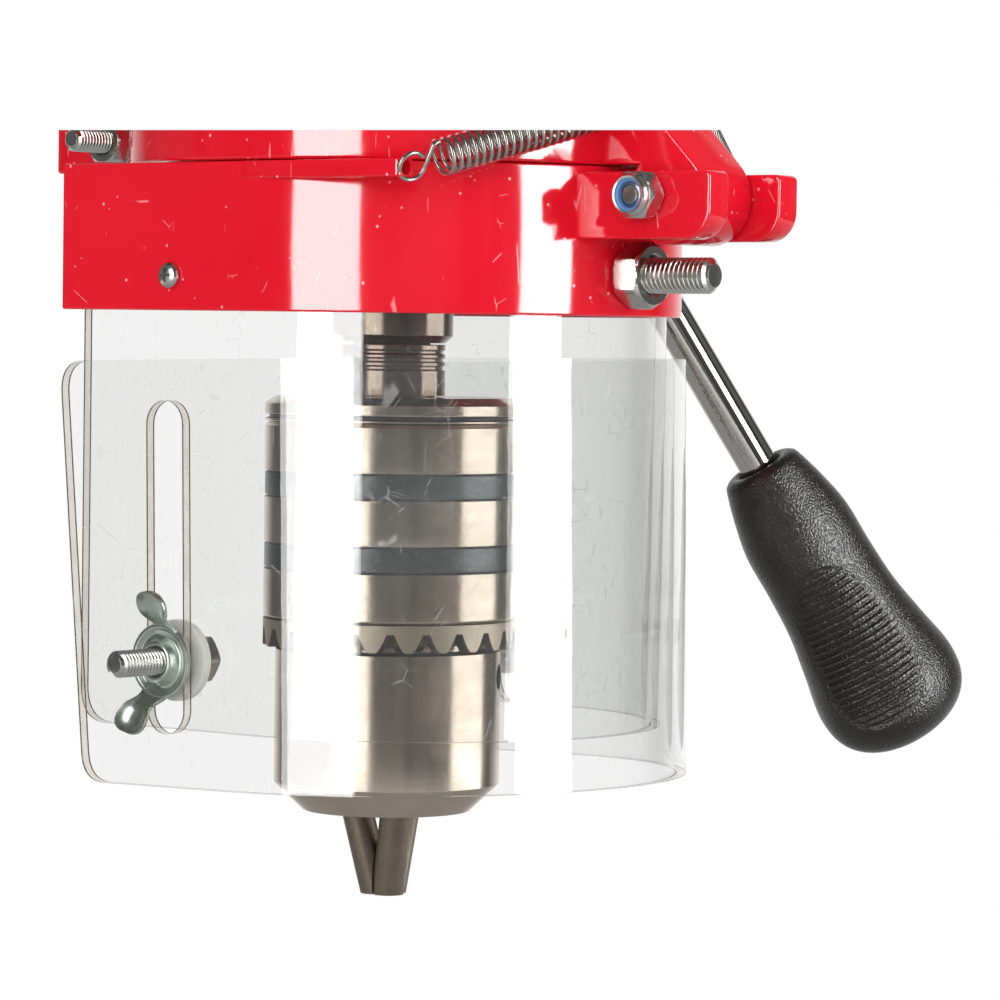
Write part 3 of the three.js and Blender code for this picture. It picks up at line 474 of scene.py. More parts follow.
def rounded(points, radius, steps=4, closed=True):
    result = []
    count = len(points)
    for index, point in enumerate(points):
        here = Vector(point)
        if not closed and index in (0, count - 1):
            result.append(here)
            continue
        back = Vector(points[index - 1]) - here
        ahead = Vector(points[(index + 1) % count]) - here
        corner = back.angle(ahead, 0)
        if corner < 0.02 or corner > math.pi - 0.12:
            result.append(here)
            continue
        reach = min(radius / math.tan(corner / 2), back.length * 0.45, ahead.length * 0.45)
        start = here + back.normalized() * reach
        end = here + ahead.normalized() * reach
        for step in range(steps + 1):
            t = step / steps
            result.append(start * (1 - t) ** 2 + here * 2 * t * (1 - t) + end * t ** 2)
    return result


def arc(center, radius, start, end, steps):
    return [
        (center[0] + radius * math.cos(a), center[1] + radius * math.sin(a))
        for a in (start + (end - start) * i / steps for i in range(steps + 1))
    ]


# Turned about Z: the profile is (radius, z) points, closed when it stays off the axis
def turned(name, profile, look, segments=96, corner=0.3, angle=edgeAngle, looksAt=None):
    solid = profile[0][0] == 0 and profile[-1][0] == 0
    points = rounded(profile, corner, 3, not solid) if corner else [Vector(point) for point in profile]
    bm = bmesh.new()
    turns = roundZ(segments)
    rings = [ringAt(bm, radius, z, turns if radius > 1e-6 else turns[:1]) for radius, z in points]
    stitched(bm, rings if solid else rings + rings[:1], looksAt)
    return fromBmesh(name, bm, look, angle)


def bar(radius, start, end, hole=0):
    return [(hole, start), (radius, start), (radius, end), (hole, end)]


def addSpline(curve, points, closed=True):
    spline = curve.splines.new("POLY")
    spline.points.add(len(points) - 1)
    for point, spot in zip(spline.points, points):
        point.co = (*spot, 1)
    spline.use_cyclic_u = closed


def meshOf(name, curve):
    holder = objectOf(name, curve)
    mesh = evaluated(holder)
    bpy.data.objects.remove(holder)
    return mesh


# The filled mesh of flat closed outlines; an outline inside another is a hole
def filled(name, outlines, **settings):
    curve = bpy.data.curves.new(name, "CURVE")
    curve.dimensions = "2D"
    curve.fill_mode = "BOTH"
    for key, value in settings.items():
        setattr(curve, key, value)
    for outline in outlines:
        addSpline(curve, [(x, y, 0) for x, y in outline])
    return meshOf(name, curve)


# A flat outline with holes, pushed along its own +Z, with rounded rims
def plate(name, outlines, depth, bevel, look, basis=Matrix.Identity(4)):
    bm = opened(filled(
        name, outlines, extrude=depth / 2 - bevel, bevel_depth=bevel, bevel_resolution=2, offset=-bevel))
    bmesh.ops.transform(bm, matrix=basis @ lifted(depth / 2), verts=bm.verts)
    return fromBmesh(name, bm, look)


# Side outlines are drawn in (Y, Z) and pushed along +X; this places them at x
def sideBasis(x):
    turn = Matrix(((0, 0, 1, 0), (1, 0, 0, 0), (0, 1, 0, 0), (0, 0, 0, 1)))
    return Matrix.Translation((x, 0, 0)) @ turn


def facing(direction, at=(0, 0, 0)):
    return Matrix.Translation(at) @ Vector(direction).to_track_quat("Z", "Y").to_matrix().to_4x4()


def block(name, low, high, look="black"):
    bm = bmesh.new()
    bmesh.ops.create_cube(bm, size=1)
    low, high = Vector(low), Vector(high)
    place = Matrix.Translation((low + high) / 2) @ Matrix.Diagonal((*(high - low), 1))
    bmesh.ops.transform(bm, matrix=place, verts=bm.verts)
    return fromBmesh(name, bm, look)


def drill(radius, start, end, basis=Matrix.Identity(4), look="black"):
    return moved(turned("drill", bar(radius, start, end), look, 64, 0), basis)


def wireAlong(name, points, radius, look):
    curve = bpy.data.curves.new(name, "CURVE")
    curve.dimensions = "3D"
    curve.bevel_depth = radius * mm
    curve.bevel_resolution = 5
    curve.use_fill_caps = True
    addSpline(curve, [Vector(spot) * mm for spot in points], False)
    mesh = meshOf(name, curve)
    mesh.materials.clear()
    mesh.materials.append(materials[look])
    mesh.shade_smooth()
    return objectOf(name, mesh)


# Geometry node trees for what repeats
def makeTree(name, inputs):
    tree = bpy.data.node_groups.new(name, "GeometryNodeTree")
    for label, kind in inputs:
        tree.interface.new_socket(name=label, in_out="INPUT", socket_type=kind)
    tree.interface.new_socket(name="Geometry", in_out="OUTPUT", socket_type="NodeSocketGeometry")
    source = tree.nodes.new("NodeGroupInput")
    target = tree.nodes.new("NodeGroupOutput")

    def add(kind, settings=None, values=None):
        node = tree.nodes.new(kind)
        for key, value in (settings or {}).items():
            setattr(node, key, value)
        for key, value in (values or {}).items():
            if isinstance(value, bpy.types.NodeSocket):
                tree.links.new(value, node.inputs[key])
            else:
                node.inputs[key].default_value = value
        return node

    def close(geometry):
        whole = add("GeometryNodeRealizeInstances", None, {0: geometry})
        painted = add("GeometryNodeSetMaterial", None, {
            "Geometry": whole.outputs[0], "Material": source.outputs["Material"]})
        tree.links.new(painted.outputs[0], target.inputs[0])
        return tree

    return add, source, close


# A wire wound about Z, upwards from z = 0
def makeCoilTree():
    add, source, close = makeTree("coil", (
        ("Turns", "NodeSocketFloat"), ("Radius", "NodeSocketFloat"), ("Height", "NodeSocketFloat"),
        ("Wire", "NodeSocketFloat"), ("Steps", "NodeSocketInt"), ("Sides", "NodeSocketInt"),
        ("Material", "NodeSocketMaterial")))
    wanted = source.outputs
    spiral = add("GeometryNodeCurveSpiral", None, {
        "Resolution": wanted["Steps"], "Rotations": wanted["Turns"], "Start Radius": wanted["Radius"],
        "End Radius": wanted["Radius"], "Height": wanted["Height"]})
    ring = add("GeometryNodeCurvePrimitiveCircle", None, {
        "Resolution": wanted["Sides"], "Radius": wanted["Wire"]})
    tube = add("GeometryNodeCurveToMesh", None, {
        "Curve": spiral.outputs[0], "Profile Curve": ring.outputs[0], "Fill Caps": True})
    return close(tube.outputs[0])


# Copies of one shape set evenly round Z
def makeRingTree():
    add, source, close = makeTree("ringArray", (
        ("Shape", "NodeSocketObject"), ("Count", "NodeSocketInt"), ("Material", "NodeSocketMaterial")))
    wanted = source.outputs
    spots = add("GeometryNodeMeshLine", None, {"Count": wanted["Count"], "Offset": (0, 0, 0)})
    shape = add("GeometryNodeObjectInfo", None, {"Object": wanted["Shape"]})
    index = add("GeometryNodeInputIndex")
    share = add("ShaderNodeMath", {"operation": "DIVIDE"}, {0: index.outputs[0], 1: wanted["Count"]})
    turn = add("ShaderNodeMath", {"operation": "MULTIPLY"}, {0: share.outputs[0], 1: 2 * math.pi})
    spin = add("ShaderNodeCombineXYZ", None, {"Z": turn.outputs[0]})
    copies = add("GeometryNodeInstanceOnPoints", None, {
        "Points": spots.outputs[0], "Instance": shape.outputs["Geometry"], "Rotation": spin.outputs[0]})
    return close(copies.outputs[0])


# Rounded ribs across a handle that stands on Z, in a sunken panel that faces +X, with a groove round it
def makeRibTree():
    add, source, close = makeTree("gripRibs", (
        ("Geometry", "NodeSocketGeometry"), ("Pitch", "NodeSocketFloat"), ("Depth", "NodeSocketFloat"),
        ("Middle", "NodeSocketFloat"), ("Half Length", "NodeSocketFloat"), ("Half Width", "NodeSocketFloat"),
        ("Flare", "NodeSocketFloat"), ("Material", "NodeSocketMaterial")))
    wanted = source.outputs

    def calc(operation, first, second=0.0, clamp=False):
        settings = {"operation": operation, "use_clamp": clamp}
        return add("ShaderNodeMath", settings, {0: first, 1: second}).outputs[0]

    spot = add("GeometryNodeInputPosition")
    x, y, z = add("ShaderNodeSeparateXYZ", None, {0: spot.outputs[0]}).outputs
    along = calc("DIVIDE", calc("SUBTRACT", z, wanted["Middle"]), wanted["Half Length"])
    flare = calc("ADD", calc("MULTIPLY", along, wanted["Flare"]), 1.0)
    across = calc("DIVIDE", y, calc("MULTIPLY", wanted["Half Width"], flare))
    ends = calc("POWER", calc("ABSOLUTE", along), 3.2)
    sides = calc("POWER", calc("ABSOLUTE", across), 2.6)
    oval = calc("ADD", ends, sides)
    front = calc("GREATER_THAN", x, 0.0)
    inside = calc("MULTIPLY", calc("MULTIPLY", calc("SUBTRACT", 1.0, oval), 7.0, True), front)
    turn = calc("DIVIDE", calc("MULTIPLY", z, math.pi), wanted["Pitch"])
    rib = calc("SUBTRACT", calc("POWER", calc("ABSOLUTE", calc("SINE", turn)), 0.6), 1.25)
    rim = calc("MULTIPLY", calc("ABSOLUTE", calc("SUBTRACT", oval, 1.0)), 9.0)
    groove = calc("MULTIPLY", calc("SUBTRACT", 1.0, rim, True), calc("MULTIPLY", front, -0.8))
    height = calc("MULTIPLY", calc("ADD", calc("MULTIPLY", rib, inside), groove), wanted["Depth"])
    normal = add("GeometryNodeInputNormal")
    push = add("ShaderNodeVectorMath", {"operation": "SCALE"}, {0: normal.outputs[0], "Scale": height})
    shaped = add("GeometryNodeSetPosition", None, {"Geometry": wanted["Geometry"], "Offset": push.outputs[0]})
    return close(shaped.outputs[0])


def runTree(piece, tree, values):
    modifier = piece.modifiers.new("shape", "NODES")
    modifier.node_group = tree
    for item in tree.interface.items_tree:
        if item.in_out == "INPUT" and item.name in values:
            modifier[item.identifier] = values[item.name]
    piece.update_tag()
    return applied(piece)


def blank(name):
    return objectOf(name, bpy.data.meshes.new(name))


coilTree = makeCoilTree()
ringTree = makeRingTree()
ribTree = makeRibTree()


def coil(name, turns, radius, height, wire, look, sides=10, steps=40):
    piece = runTree(blank(name), coilTree, {
        "Turns": float(turns), "Radius": radius * mm, "Height": height * mm, "Wire": wire * mm,
        "Steps": steps, "Sides": sides, "Material": materials[look]})
    smoothed(piece.data, 50)
    return piece


def ringOf(name, shape, count, look):
    piece = runTree(blank(name), ringTree, {"Shape": shape, "Count": count, "Material": materials[look]})
    bpy.data.objects.remove(shape)
    bm = opened(piece.data)
    bmesh.ops.remove_doubles(bm, verts=bm.verts, dist=sameSpot * mm)
    bmesh.ops.recalc_face_normals(bm, faces=bm.faces)
    smoothed(written(bm, piece.data), 35)
    return piece


# A screw thread that stands on z = 0 and ends in a chamfer
def threaded(name, radius, length, pitch, look="zinc"):
    core = radius - 0.6 * pitch
    chamfer = 0.7 * pitch
    shank = turned(name, [
        (0, -0.2), (core, -0.2), (core, length - chamfer), (core - chamfer * 0.8, length), (0, length),
    ], look, 48, 0.1)
    crest = radius - 0.03 * pitch
    half = ((crest, 0.08), (core, 0.42), (core - 0.1, 0.46))
    profile = [(reach, -rise) for reach, rise in half[::-1]] + list(half)
    steps = 36
    bm = bmesh.new()
    rows = []
    for step in range(round((length / pitch - 0.95) * steps)):
        a = 2 * math.pi * step / steps
        z = (0.4 + step / steps) * pitch
        rows.append([ringAt(bm, reach, z + rise * pitch, [a])[0] for reach, rise in profile])
    stitched(bm, rows)
    bm.faces.new(rows[0][::-1])
    bm.faces.new(rows[-1])
    ridge = fromBmesh("ridge", bm, look, 40)
    return joined(name, [shank, ridge])


# A chamfered hexagon from z = 0; a lock collar makes it a nylon-ring nut, and no hole makes it a bolt head
def hexagon(name, corner, height, hole, look="zinc", lock=0.0):
    flat = corner * math.cos(math.pi / 6)
    body = height - lock
    cut = 0.13 * flat
    bm = bmesh.new()
    turns = roundZ(96)
    rings = []
    for z in (0, 0.3 * cut, 0.65 * cut, cut, body - cut, body - 0.65 * cut, body - 0.3 * cut, body):
        limit = flat * 0.985 + min(z, body - z) * 1.6
        ring = []
        for a in turns:
            side = flat / math.cos(a % (math.pi / 3) - math.pi / 6)
            reach = min(side, limit, corner * 0.985)
            ring += ringAt(bm, reach, z, [a])
        rings.append(ring)
    rest = [(hole + 0.12 * flat, body), (hole, body - 0.1 * flat)] if hole else [(flat * 0.5, body - 0.02)]
    if lock:
        rest = [
            (flat * 0.93, body + 0.15), (flat * 0.93, height - 1.3), (flat * 0.88, height - 0.5),
            (flat * 0.8, height), (hole + 0.45, height - 0.1), (hole + 0.43, body - 0.5), (hole, body - 0.6),
        ]
    rings += [ringAt(bm, reach, z, turns) for reach, z in rest]
    if hole:
        rings += [ringAt(bm, hole, 0, turns), rings[0]]
    else:
        bm.faces.new(rings[-1])
        bm.faces.new(rings[0][::-1])
    stitched(bm, rings)
    return fromBmesh(name, bm, look, 26)


bodies = frame["record"]["behaviour"]["bodies"]
bodyOf = {node: body for body, members in bodies.items() for node in members}


settled = []


# Hands a finished piece to its body, in place of the CAD nodes it stands for
def settle(piece, nodes):
    nodes = [nodes] if isinstance(nodes, str) else nodes
    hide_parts(*nodes)
    settled.append(piece)
    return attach(piece, bodyOf[nodes[0]])


def fit(piece, place, nodes):
    return settle(moved(piece, place), nodes)


print("tools ready")


# Casting that carries the quill
casting = {
    "frontRadius": 54, "back": reachOf("quill_housing", 1)[1], "snoutRadius": 52,
    "snoutBottom": reachOf("quill_housing", 2)[0], "castingBottom": -70, "bore": 30.12,
    "bossRadius": 15, "bossEnd": reachOf("quill_housing", 0)[1], "bossBore": 12.52,
    "screwHoles": ((42, -24), (42, 48)), "screwRadius": 3.4, "screwDepth": 18,
}
feedCenter = Vector((0, *middleOf("pinion_bush_left").yz))


def makeCasting():
    c = casting
    r = c["frontRadius"]
    outline = [(-r, c["back"])] + arc((0, 0), r, math.pi, 2 * math.pi, 48) + [(r, c["back"])]
    depth = -c["castingBottom"]
    body = plate("quillHousing", [rounded(outline, 5, 6)], depth, 1.5, "redPaint",
                 lifted(c["castingBottom"]))
    profile = bar(c["snoutRadius"], c["castingBottom"] + 1, c["snoutBottom"])
    snout = turned("snout", profile, "redPaint", 96, 1.2)
    boss = turned("boss", bar(c["bossRadius"], -c["bossEnd"], c["bossEnd"]), "redPaint", 96, 1.2)
    moved(boss, facing((1, 0, 0), feedCenter))
    carved(body, [snout, boss], "UNION")
    tools = [drill(c["bore"], c["snoutBottom"] - 1, 1)]
    tools.append(drill(c["bossBore"], -c["bossEnd"] - 1, c["bossEnd"] + 1, facing((1, 0, 0), feedCenter)))
    for x, y in c["screwHoles"]:
        for side in (-1, 1):
            tools.append(drill(c["screwRadius"], -c["screwDepth"], 1, Matrix.Translation((side * x, y, 0))))
    carved(body, tools)
    softened(body, 0.5, 2, 40)
    return settle(body, "quill_housing")


# Collar that clamps round the snout, with its split lugs behind and the hinge arm in front
collar = {
    "radius": reachOf("clamp_collar", 0)[1], "center": -7, "top": reachOf("clamp_collar", 2)[1],
    "bottom": -94.8, "hole": 52.12, "split": 1.5, "lugHalf": 10, "lugBack": reachOf("clamp_collar", 1)[1],
    "boltHole": 3.25, "edge": 0.7, "armHalf": 8.8, "lobe": 10.3, "slope": math.radians(45), "pinHole": 2.12,
}
hinge = {"radius": 3, "corner": 5.77, "nutHeight": 6, "headHeight": 4}
hingeAt = Vector((0, *middleOf("hinge_nut").yz))
clampAt = Vector((0, *middleOf("clamp_bolt").yz))
pinAt = Vector((0, *middleOf("spring_pin").yz))


def makeCollar():
    c = collar
    r = c["radius"]
    height = c["top"] - c["bottom"]
    base = lifted(c["bottom"])
    front = arc((0, c["center"]), r, math.pi, 2 * math.pi, 64)
    back = arc((0, 0), r, 0, math.pi, 64)
    gap = arc((0, 0), c["hole"], 0, 2 * math.pi, 128)[:-1]
    ring = plate("clampCollar", [front + back, gap], height, c["edge"], "redPlastic", base)
    lugOutline = [
        (-c["lugHalf"], 54), (c["lugHalf"], 54), (c["lugHalf"], c["lugBack"]), (-c["lugHalf"], c["lugBack"])]
    lug = plate("lug", [rounded(lugOutline, 2.4, 5)], height, c["edge"], "redPlastic", base)
    lobe = c["lobe"]
    start = math.pi - c["slope"]
    slopeY = hingeAt.y + lobe * math.cos(start)
    slopeZ = hingeAt.z + lobe * math.sin(start)
    run = (c["top"] - slopeZ) / math.tan(c["slope"])
    heel = math.asin((c["bottom"] - hingeAt.z) / lobe)
    root = c["center"] - r + 4
    outline = [(root, c["bottom"]), (root, c["top"]), (slopeY + run, c["top"])]
    outline += arc(hingeAt.yz, lobe, start, 2 * math.pi + heel, 40)
    arm = plate("arm", [outline], 2 * c["armHalf"], c["edge"], "redPlastic", sideBasis(-c["armHalf"]))
    carved(ring, [lug, arm], "UNION")
    tools = [
        block("split", (-c["split"], 46, c["bottom"] - 2), (c["split"], 110, c["top"] + 2)),
        drill(c["boltHole"], -20, 20, facing((1, 0, 0), clampAt)),
        drill(c["pinHole"], -20, 20, facing((1, 0, 0), pinAt)),
        drill(hinge["radius"] + 0.25, -20, 20, facing((1, 0, 0), hingeAt)),
    ]
    carved(ring, tools)
    return settle(ring, "clamp_collar")


clampBolt = {
    "radius": 3, "corner": 5.77, "head": 4, "nut": 5, "washer": 6, "washerHeight": 1.6,
    "end": reachOf("clamp_bolt", 0)[0], "pinRadius": 2, "pinOverhang": 5,
}
nutClearance = 0.12


def makeClampFasteners():
    b = clampBolt
    seat = collar["lugHalf"]
    left = facing((-1, 0, 0), clampAt)
    right = facing((1, 0, 0), clampAt)
    head = moved(hexagon("clampBolt", b["corner"], b["head"], 0), right @ lifted(seat + 0.3))
    shank = drill(b["radius"] - 0.05, -seat - 1, seat + 0.4, right, "zinc")
    thread = moved(threaded("thread", b["radius"], -b["end"] - seat, 1.0), left @ lifted(seat))
    settle(joined("clampBolt", [head, shank, thread]), "clamp_bolt")
    ring = bar(b["washer"], 0, b["washerHeight"], collar["boltHole"])
    washer = turned("clampWasher", ring, "zinc", 64, 0.3)
    fit(washer, left @ lifted(seat), "clamp_washer")
    nut = hexagon("clampNut", b["corner"], b["nut"], b["radius"] + nutClearance)
    fit(nut, left @ lifted(seat + b["washerHeight"]), "clamp_nut")
    half = collar["armHalf"] + b["pinOverhang"]
    pin = turned("springPin", bar(b["pinRadius"], -half, half), "zinc", 48, 0.5)
    fit(pin, facing((1, 0, 0), pinAt), "spring_pin")


# Holder band of the guard with its two ears and its spring ledges
band = {
    "radius": reachOf("guard_holder", 0)[1], "center": -7, "back": reachOf("guard_holder", 1)[1], "wall": 3,
    "top": reachOf("guard_holder", 2)[1], "bottom": reachOf("guard_holder", 2)[0], "edge": 0.45,
    "earInner": 9.35, "earOuter": 16.3, "earFront": reachOf("guard_holder", 1)[0], "earTop": -96.6,
    "earBottom": -111.1, "earCorner": 6.7, "earTopCorner": 1.5, "ledge": 3.9, "ledgeFront": -51.6,
    "tab": 3.5, "tabWidth": 5.2,
    "tabHole": 1.6,
}


def tunnel(radius, wall, center, back):
    outside = [(-radius, back)] + arc((0, center), radius, math.pi, 2 * math.pi, 96) + [(radius, back)]
    inner = radius - wall
    inside = [(inner, back)] + arc((0, center), inner, 2 * math.pi, math.pi, 96) + [(-inner, back)]
    return outside + inside


def makeHolder():
    b = band
    outline = tunnel(b["radius"], b["wall"], b["center"], b["back"])
    depth = b["top"] - b["bottom"]
    strip = plate("guardHolder", [outline], depth, b["edge"], "redPlastic", lifted(b["bottom"]))
    root = b["center"] - b["radius"] + 2.8
    outline = [(root, b["earBottom"]), (root, b["earTop"]), (b["earFront"] + b["earTopCorner"], b["earTop"])]
    middle = (b["earFront"] + b["earTopCorner"], b["earTop"] - b["earTopCorner"])
    outline += arc(middle, b["earTopCorner"], math.pi / 2, math.pi, 5)
    middle = (b["earFront"] + b["earCorner"], b["earBottom"] + b["earCorner"])
    outline += arc(middle, b["earCorner"], math.pi, 1.5 * math.pi, 12)
    hole = arc(hingeAt.yz, hinge["radius"] + 0.25, 0, 2 * math.pi, 40)[:-1]
    parts = [strip]
    width = b["earOuter"] - b["earInner"]
    for side in (-1, 1):
        start = b["earInner"] if side > 0 else -b["earOuter"]
        parts.append(plate("ear", [outline, hole], width, 0.5, "redPlastic", sideBasis(start)))
        parts.append(makeLedge(side))
    return settle(joined("guardHolder", parts), "guard_holder")


def makeLedge(side):
    b = band
    w = b["radius"]
    slant = math.asin((b["ledgeFront"] + b["tab"] + 6 - b["center"]) / (w - 1))
    outline = [(-w, b["center"]), (-w, b["ledgeFront"]), (-w + b["tabWidth"], b["ledgeFront"])]
    outline += [(-w + b["tabWidth"], b["ledgeFront"] + b["tab"])]
    outline += arc((0, b["center"]), w - 1, math.pi - slant, math.pi, 16)
    outline = [(-side * x, y) for x, y in rounded(outline, 1.0, 4)]
    basis = lifted(b["top"] - b["ledge"])
    ledge = plate("ledge", [outline], b["ledge"], 0.4, "redPlastic", basis)
    spot = (side * (b["radius"] - 2.6), b["ledgeFront"], b["top"] - b["ledge"] / 2)
    return carved(ledge, [drill(b["tabHole"], -2, b["tab"] + 3, facing((0, 1, 0), spot))])


# Clear shields: a flat outline in (length round the sheet, Z) bent to the guard's U
shields = {
    "inner": {
        "radius": reachOf("inner_shield", 0)[1], "wall": 2.5, "backTop": 42.2, "backBottom": 42.2,
        "top": reachOf("inner_shield", 2)[1], "bottom": reachOf("inner_shield", 2)[0], "corner": 8,
        "slot": None, "tilt": 0.0, "node": "inner_shield",
    },
    "outer": {
        "radius": reachOf("outer_shield", 0)[1], "wall": 2.6, "backTop": 43, "backBottom": 36.5,
        "top": -138.4, "bottom": -232.3, "corner": 7,
        "slot": (-147.3, -220.6, 5.35), "tilt": math.radians(1.2), "node": "outer_shield",
    },
}
boltLine = Vector((0, *middleOf("shield_bolt_left").yz))


def bent(u, z, radius, center):
    quarter = math.pi * radius / 2
    if abs(u) < quarter:
        return Vector((radius * math.sin(u / radius), center - radius * math.cos(u / radius), z))
    return Vector((math.copysign(radius, u), center + abs(u) - quarter, z))


lineShare = 0.16  # the painted shade line's part of the rim's width


# Splits the rim of a sheet lengthways, so that a thin line of painted shade runs along each side of its edge
# face
def drawRimShadeLines(mesh):
    bm = opened(mesh)
    across = [edge for edge in bm.edges if len(edge.link_faces) == 2
              and all(face.material_index == 1 for face in edge.link_faces)]
    known = len(bm.verts)
    bmesh.ops.subdivide_edges(bm, edges=across, cuts=2, use_grid_fill=True)
    bm.verts.index_update()
    for face in bm.faces:
        if face.material_index == 1 and any(vertex.index < known for vertex in face.verts):
            face.material_index = 2
    places = {}
    for vertex in bm.verts:
        others = [edge.other_vert(vertex) for edge in vertex.link_edges]
        near = [other for other in others if other.index < known]
        if near and vertex.index >= known:
            places[vertex] = near[0].co.lerp(vertex.co, 3 * lineShare)
    for vertex, place in places.items():
        vertex.co = place
    written(bm, mesh)


def makeShield(key):
    s = shields[key]
    center = band["center"]
    quarter = math.pi * s["radius"] / 2
    reach = [quarter + s[end] - center for end in ("backTop", "backBottom")]
    outline = [(-reach[0], s["top"]), (reach[0], s["top"]), (reach[1], s["bottom"]), (-reach[1], s["bottom"])]
    outlines = [rounded(outline, s["corner"], 10)]
    if s["slot"]:
        top, bottom, r = s["slot"]
        for side in (-1, 1):
            at = side * (quarter + boltLine.y - center)
            upper = arc((at, top - r), r, 0, math.pi, 20)
            outlines.append(upper + arc((at, bottom + r), r, math.pi, 2 * math.pi, 20))
    bm = opened(filled(key, outlines))
    bmesh.ops.remove_doubles(bm, verts=bm.verts, dist=sameSpot)
    steps = 72
    for step in range(steps + 1):
        whole = bm.verts[:] + bm.edges[:] + bm.faces[:]
        at = -quarter + 2 * quarter * step / steps
        bmesh.ops.bisect_plane(bm, geom=whole, plane_co=(at, 0, 0), plane_no=(1, 0, 0), dist=0.0001)
    for vertex in bm.verts:
        vertex.co = bent(vertex.co.x, vertex.co.y, s["radius"], center)
    bm.normal_update()
    front = max(bm.faces, key=lambda face: -face.calc_center_median().y)
    if front.normal.y > 0:
        bmesh.ops.reverse_faces(bm, faces=bm.faces)
    mesh = written(bm, bpy.data.meshes.new(key + "Shield"))
    mesh.transform(Matrix.Scale(mm, 4))
    sheet = objectOf(key + "Shield", mesh)
    for look in ("sheet", "sheetEdge", "sheetLine"):
        mesh.materials.append(materials[look])
    solid = sheet.modifiers.new("wall", "SOLIDIFY")
    solid.thickness = s["wall"] * mm
    solid.offset = -1
    solid.use_rim = True
    solid.material_offset_rim = 1
    applied(sheet, 40)
    drawRimShadeLines(sheet.data)
    lean = Matrix.Translation(boltLine) @ Matrix.Rotation(-s["tilt"], 4, "X") @ Matrix.Translation(-boltLine)
    return fit(sheet, lean, s["node"])


# Fasteners of the guard
stopBolt = {
    "radius": 4, "z": middleOf("stop_nut").z, "end": reachOf("stop_bolt", 1)[0], "corner": 7.5, "nut": 6.6,
    "head": 5.3, "pitch": 1.25,
}
holderScrew = {
    "radius": 1.5, "head": 2.95, "height": 1.6, "y": 13.2, "z": -119.9, "nut": 3.18, "nutHeight": 2.4,
    "crossHalf": 1.5, "crossWidth": 0.32, "crossFloor": 0.65,
}
shieldBolt = {
    "radius": 3, "corner": 5.77, "head": 4, "end": 78.6, "threadStart": 62, "spacer": 9, "spacerHole": 3.3,
}
guardWall = {"outside": 60.3, "innerShieldIn": 54.5, "seat": 0.3}


def makeHingeFasteners():
    h = hinge
    face = band["earOuter"] + guardWall["seat"]
    right = facing((1, 0, 0), hingeAt)
    left = facing((-1, 0, 0), hingeAt)
    head = moved(hexagon("hingeBolt", h["corner"], h["headHeight"], 0), right @ lifted(face))
    shank = drill(h["radius"] - 0.02, -face, face + 0.5, right, "zinc")
    thread = moved(threaded("thread", h["radius"], h["nutHeight"] - 0.7, 1.0), left @ lifted(face))
    settle(joined("hingeBolt", [head, shank, thread]), "hinge_bolt")
    nut = hexagon("hingeNut", h["corner"], h["nutHeight"], h["radius"] + nutClearance, "zinc", 1.9)
    r = h["radius"]
    ring = turned("lockRing", [(r - 0.25, 4.3), (r + 0.7, 4.3), (r + 0.7, 5.6), (r - 0.1, 5.45)],
                  "lockRing", 48, 0.15)
    fit(joined("hingeNut", [nut, ring]), left @ lifted(face), "hinge_nut")


def makeStopFasteners():
    s = stopBolt
    at = (0, 0, s["z"])
    curve = guardWall["innerShieldIn"]
    inside = band["center"] - math.sqrt(curve ** 2 - s["corner"] ** 2) + guardWall["seat"]
    front = facing((0, -1, 0), at)
    back = facing((0, 1, 0), at)
    upright = Matrix.Rotation(math.pi / 6, 4, "Z")
    head = moved(hexagon("stopBolt", s["corner"], s["head"], 0), back @ lifted(inside) @ upright)
    start = -inside - 1
    shank = drill(s["radius"] - 0.7, start - 0.5, start + 2, front, "zinc")
    thread = threaded("thread", s["radius"], -s["end"] - start, s["pitch"])
    moved(thread, front @ lifted(start))
    settle(joined("stopBolt", [head, shank, thread]), "stop_bolt")
    face = band["radius"] - band["center"] + guardWall["seat"]
    nut = hexagon("stopNut", s["corner"], s["nut"], s["radius"] + 0.1)
    fit(nut, front @ lifted(face) @ upright, "stop_nut")


def makeHolderScrews():
    h = holderScrew
    for side, word in ((-1, "left"), (1, "right")):
        across = facing((side, 0, 0), (0, h["y"], h["z"]))
        face = guardWall["outside"] + guardWall["seat"]
        inside = guardWall["innerShieldIn"] - guardWall["seat"] - h["nutHeight"] - 0.6
        steps = (0, 0.35, 0.7, 1.05, 1.35)
        dome = [(h["head"] * math.cos(a), face + h["height"] * math.sin(a)) for a in steps]
        profile = [(0, inside), (h["radius"], inside), (h["radius"], face)] + dome + [(0, face + h["height"])]
        screw = turned("holderScrew" + word.title(), profile, "zinc", 48, 0.1)
        floor, long, thin = face + h["crossFloor"], h["crossHalf"], h["crossWidth"]
        carved(screw, [
            block("slot", (-x, -y, floor), (x, y, face + 3)) for x, y in ((long, thin), (thin, long))])
        fit(screw, across, "holder_screw_" + word)
        nut = hexagon("holderNut" + word.title(), h["nut"], h["nutHeight"], h["radius"] + nutClearance)
        start = guardWall["innerShieldIn"] - guardWall["seat"] - h["nutHeight"]
        fit(nut, across @ lifted(start), "holder_nut_" + word)


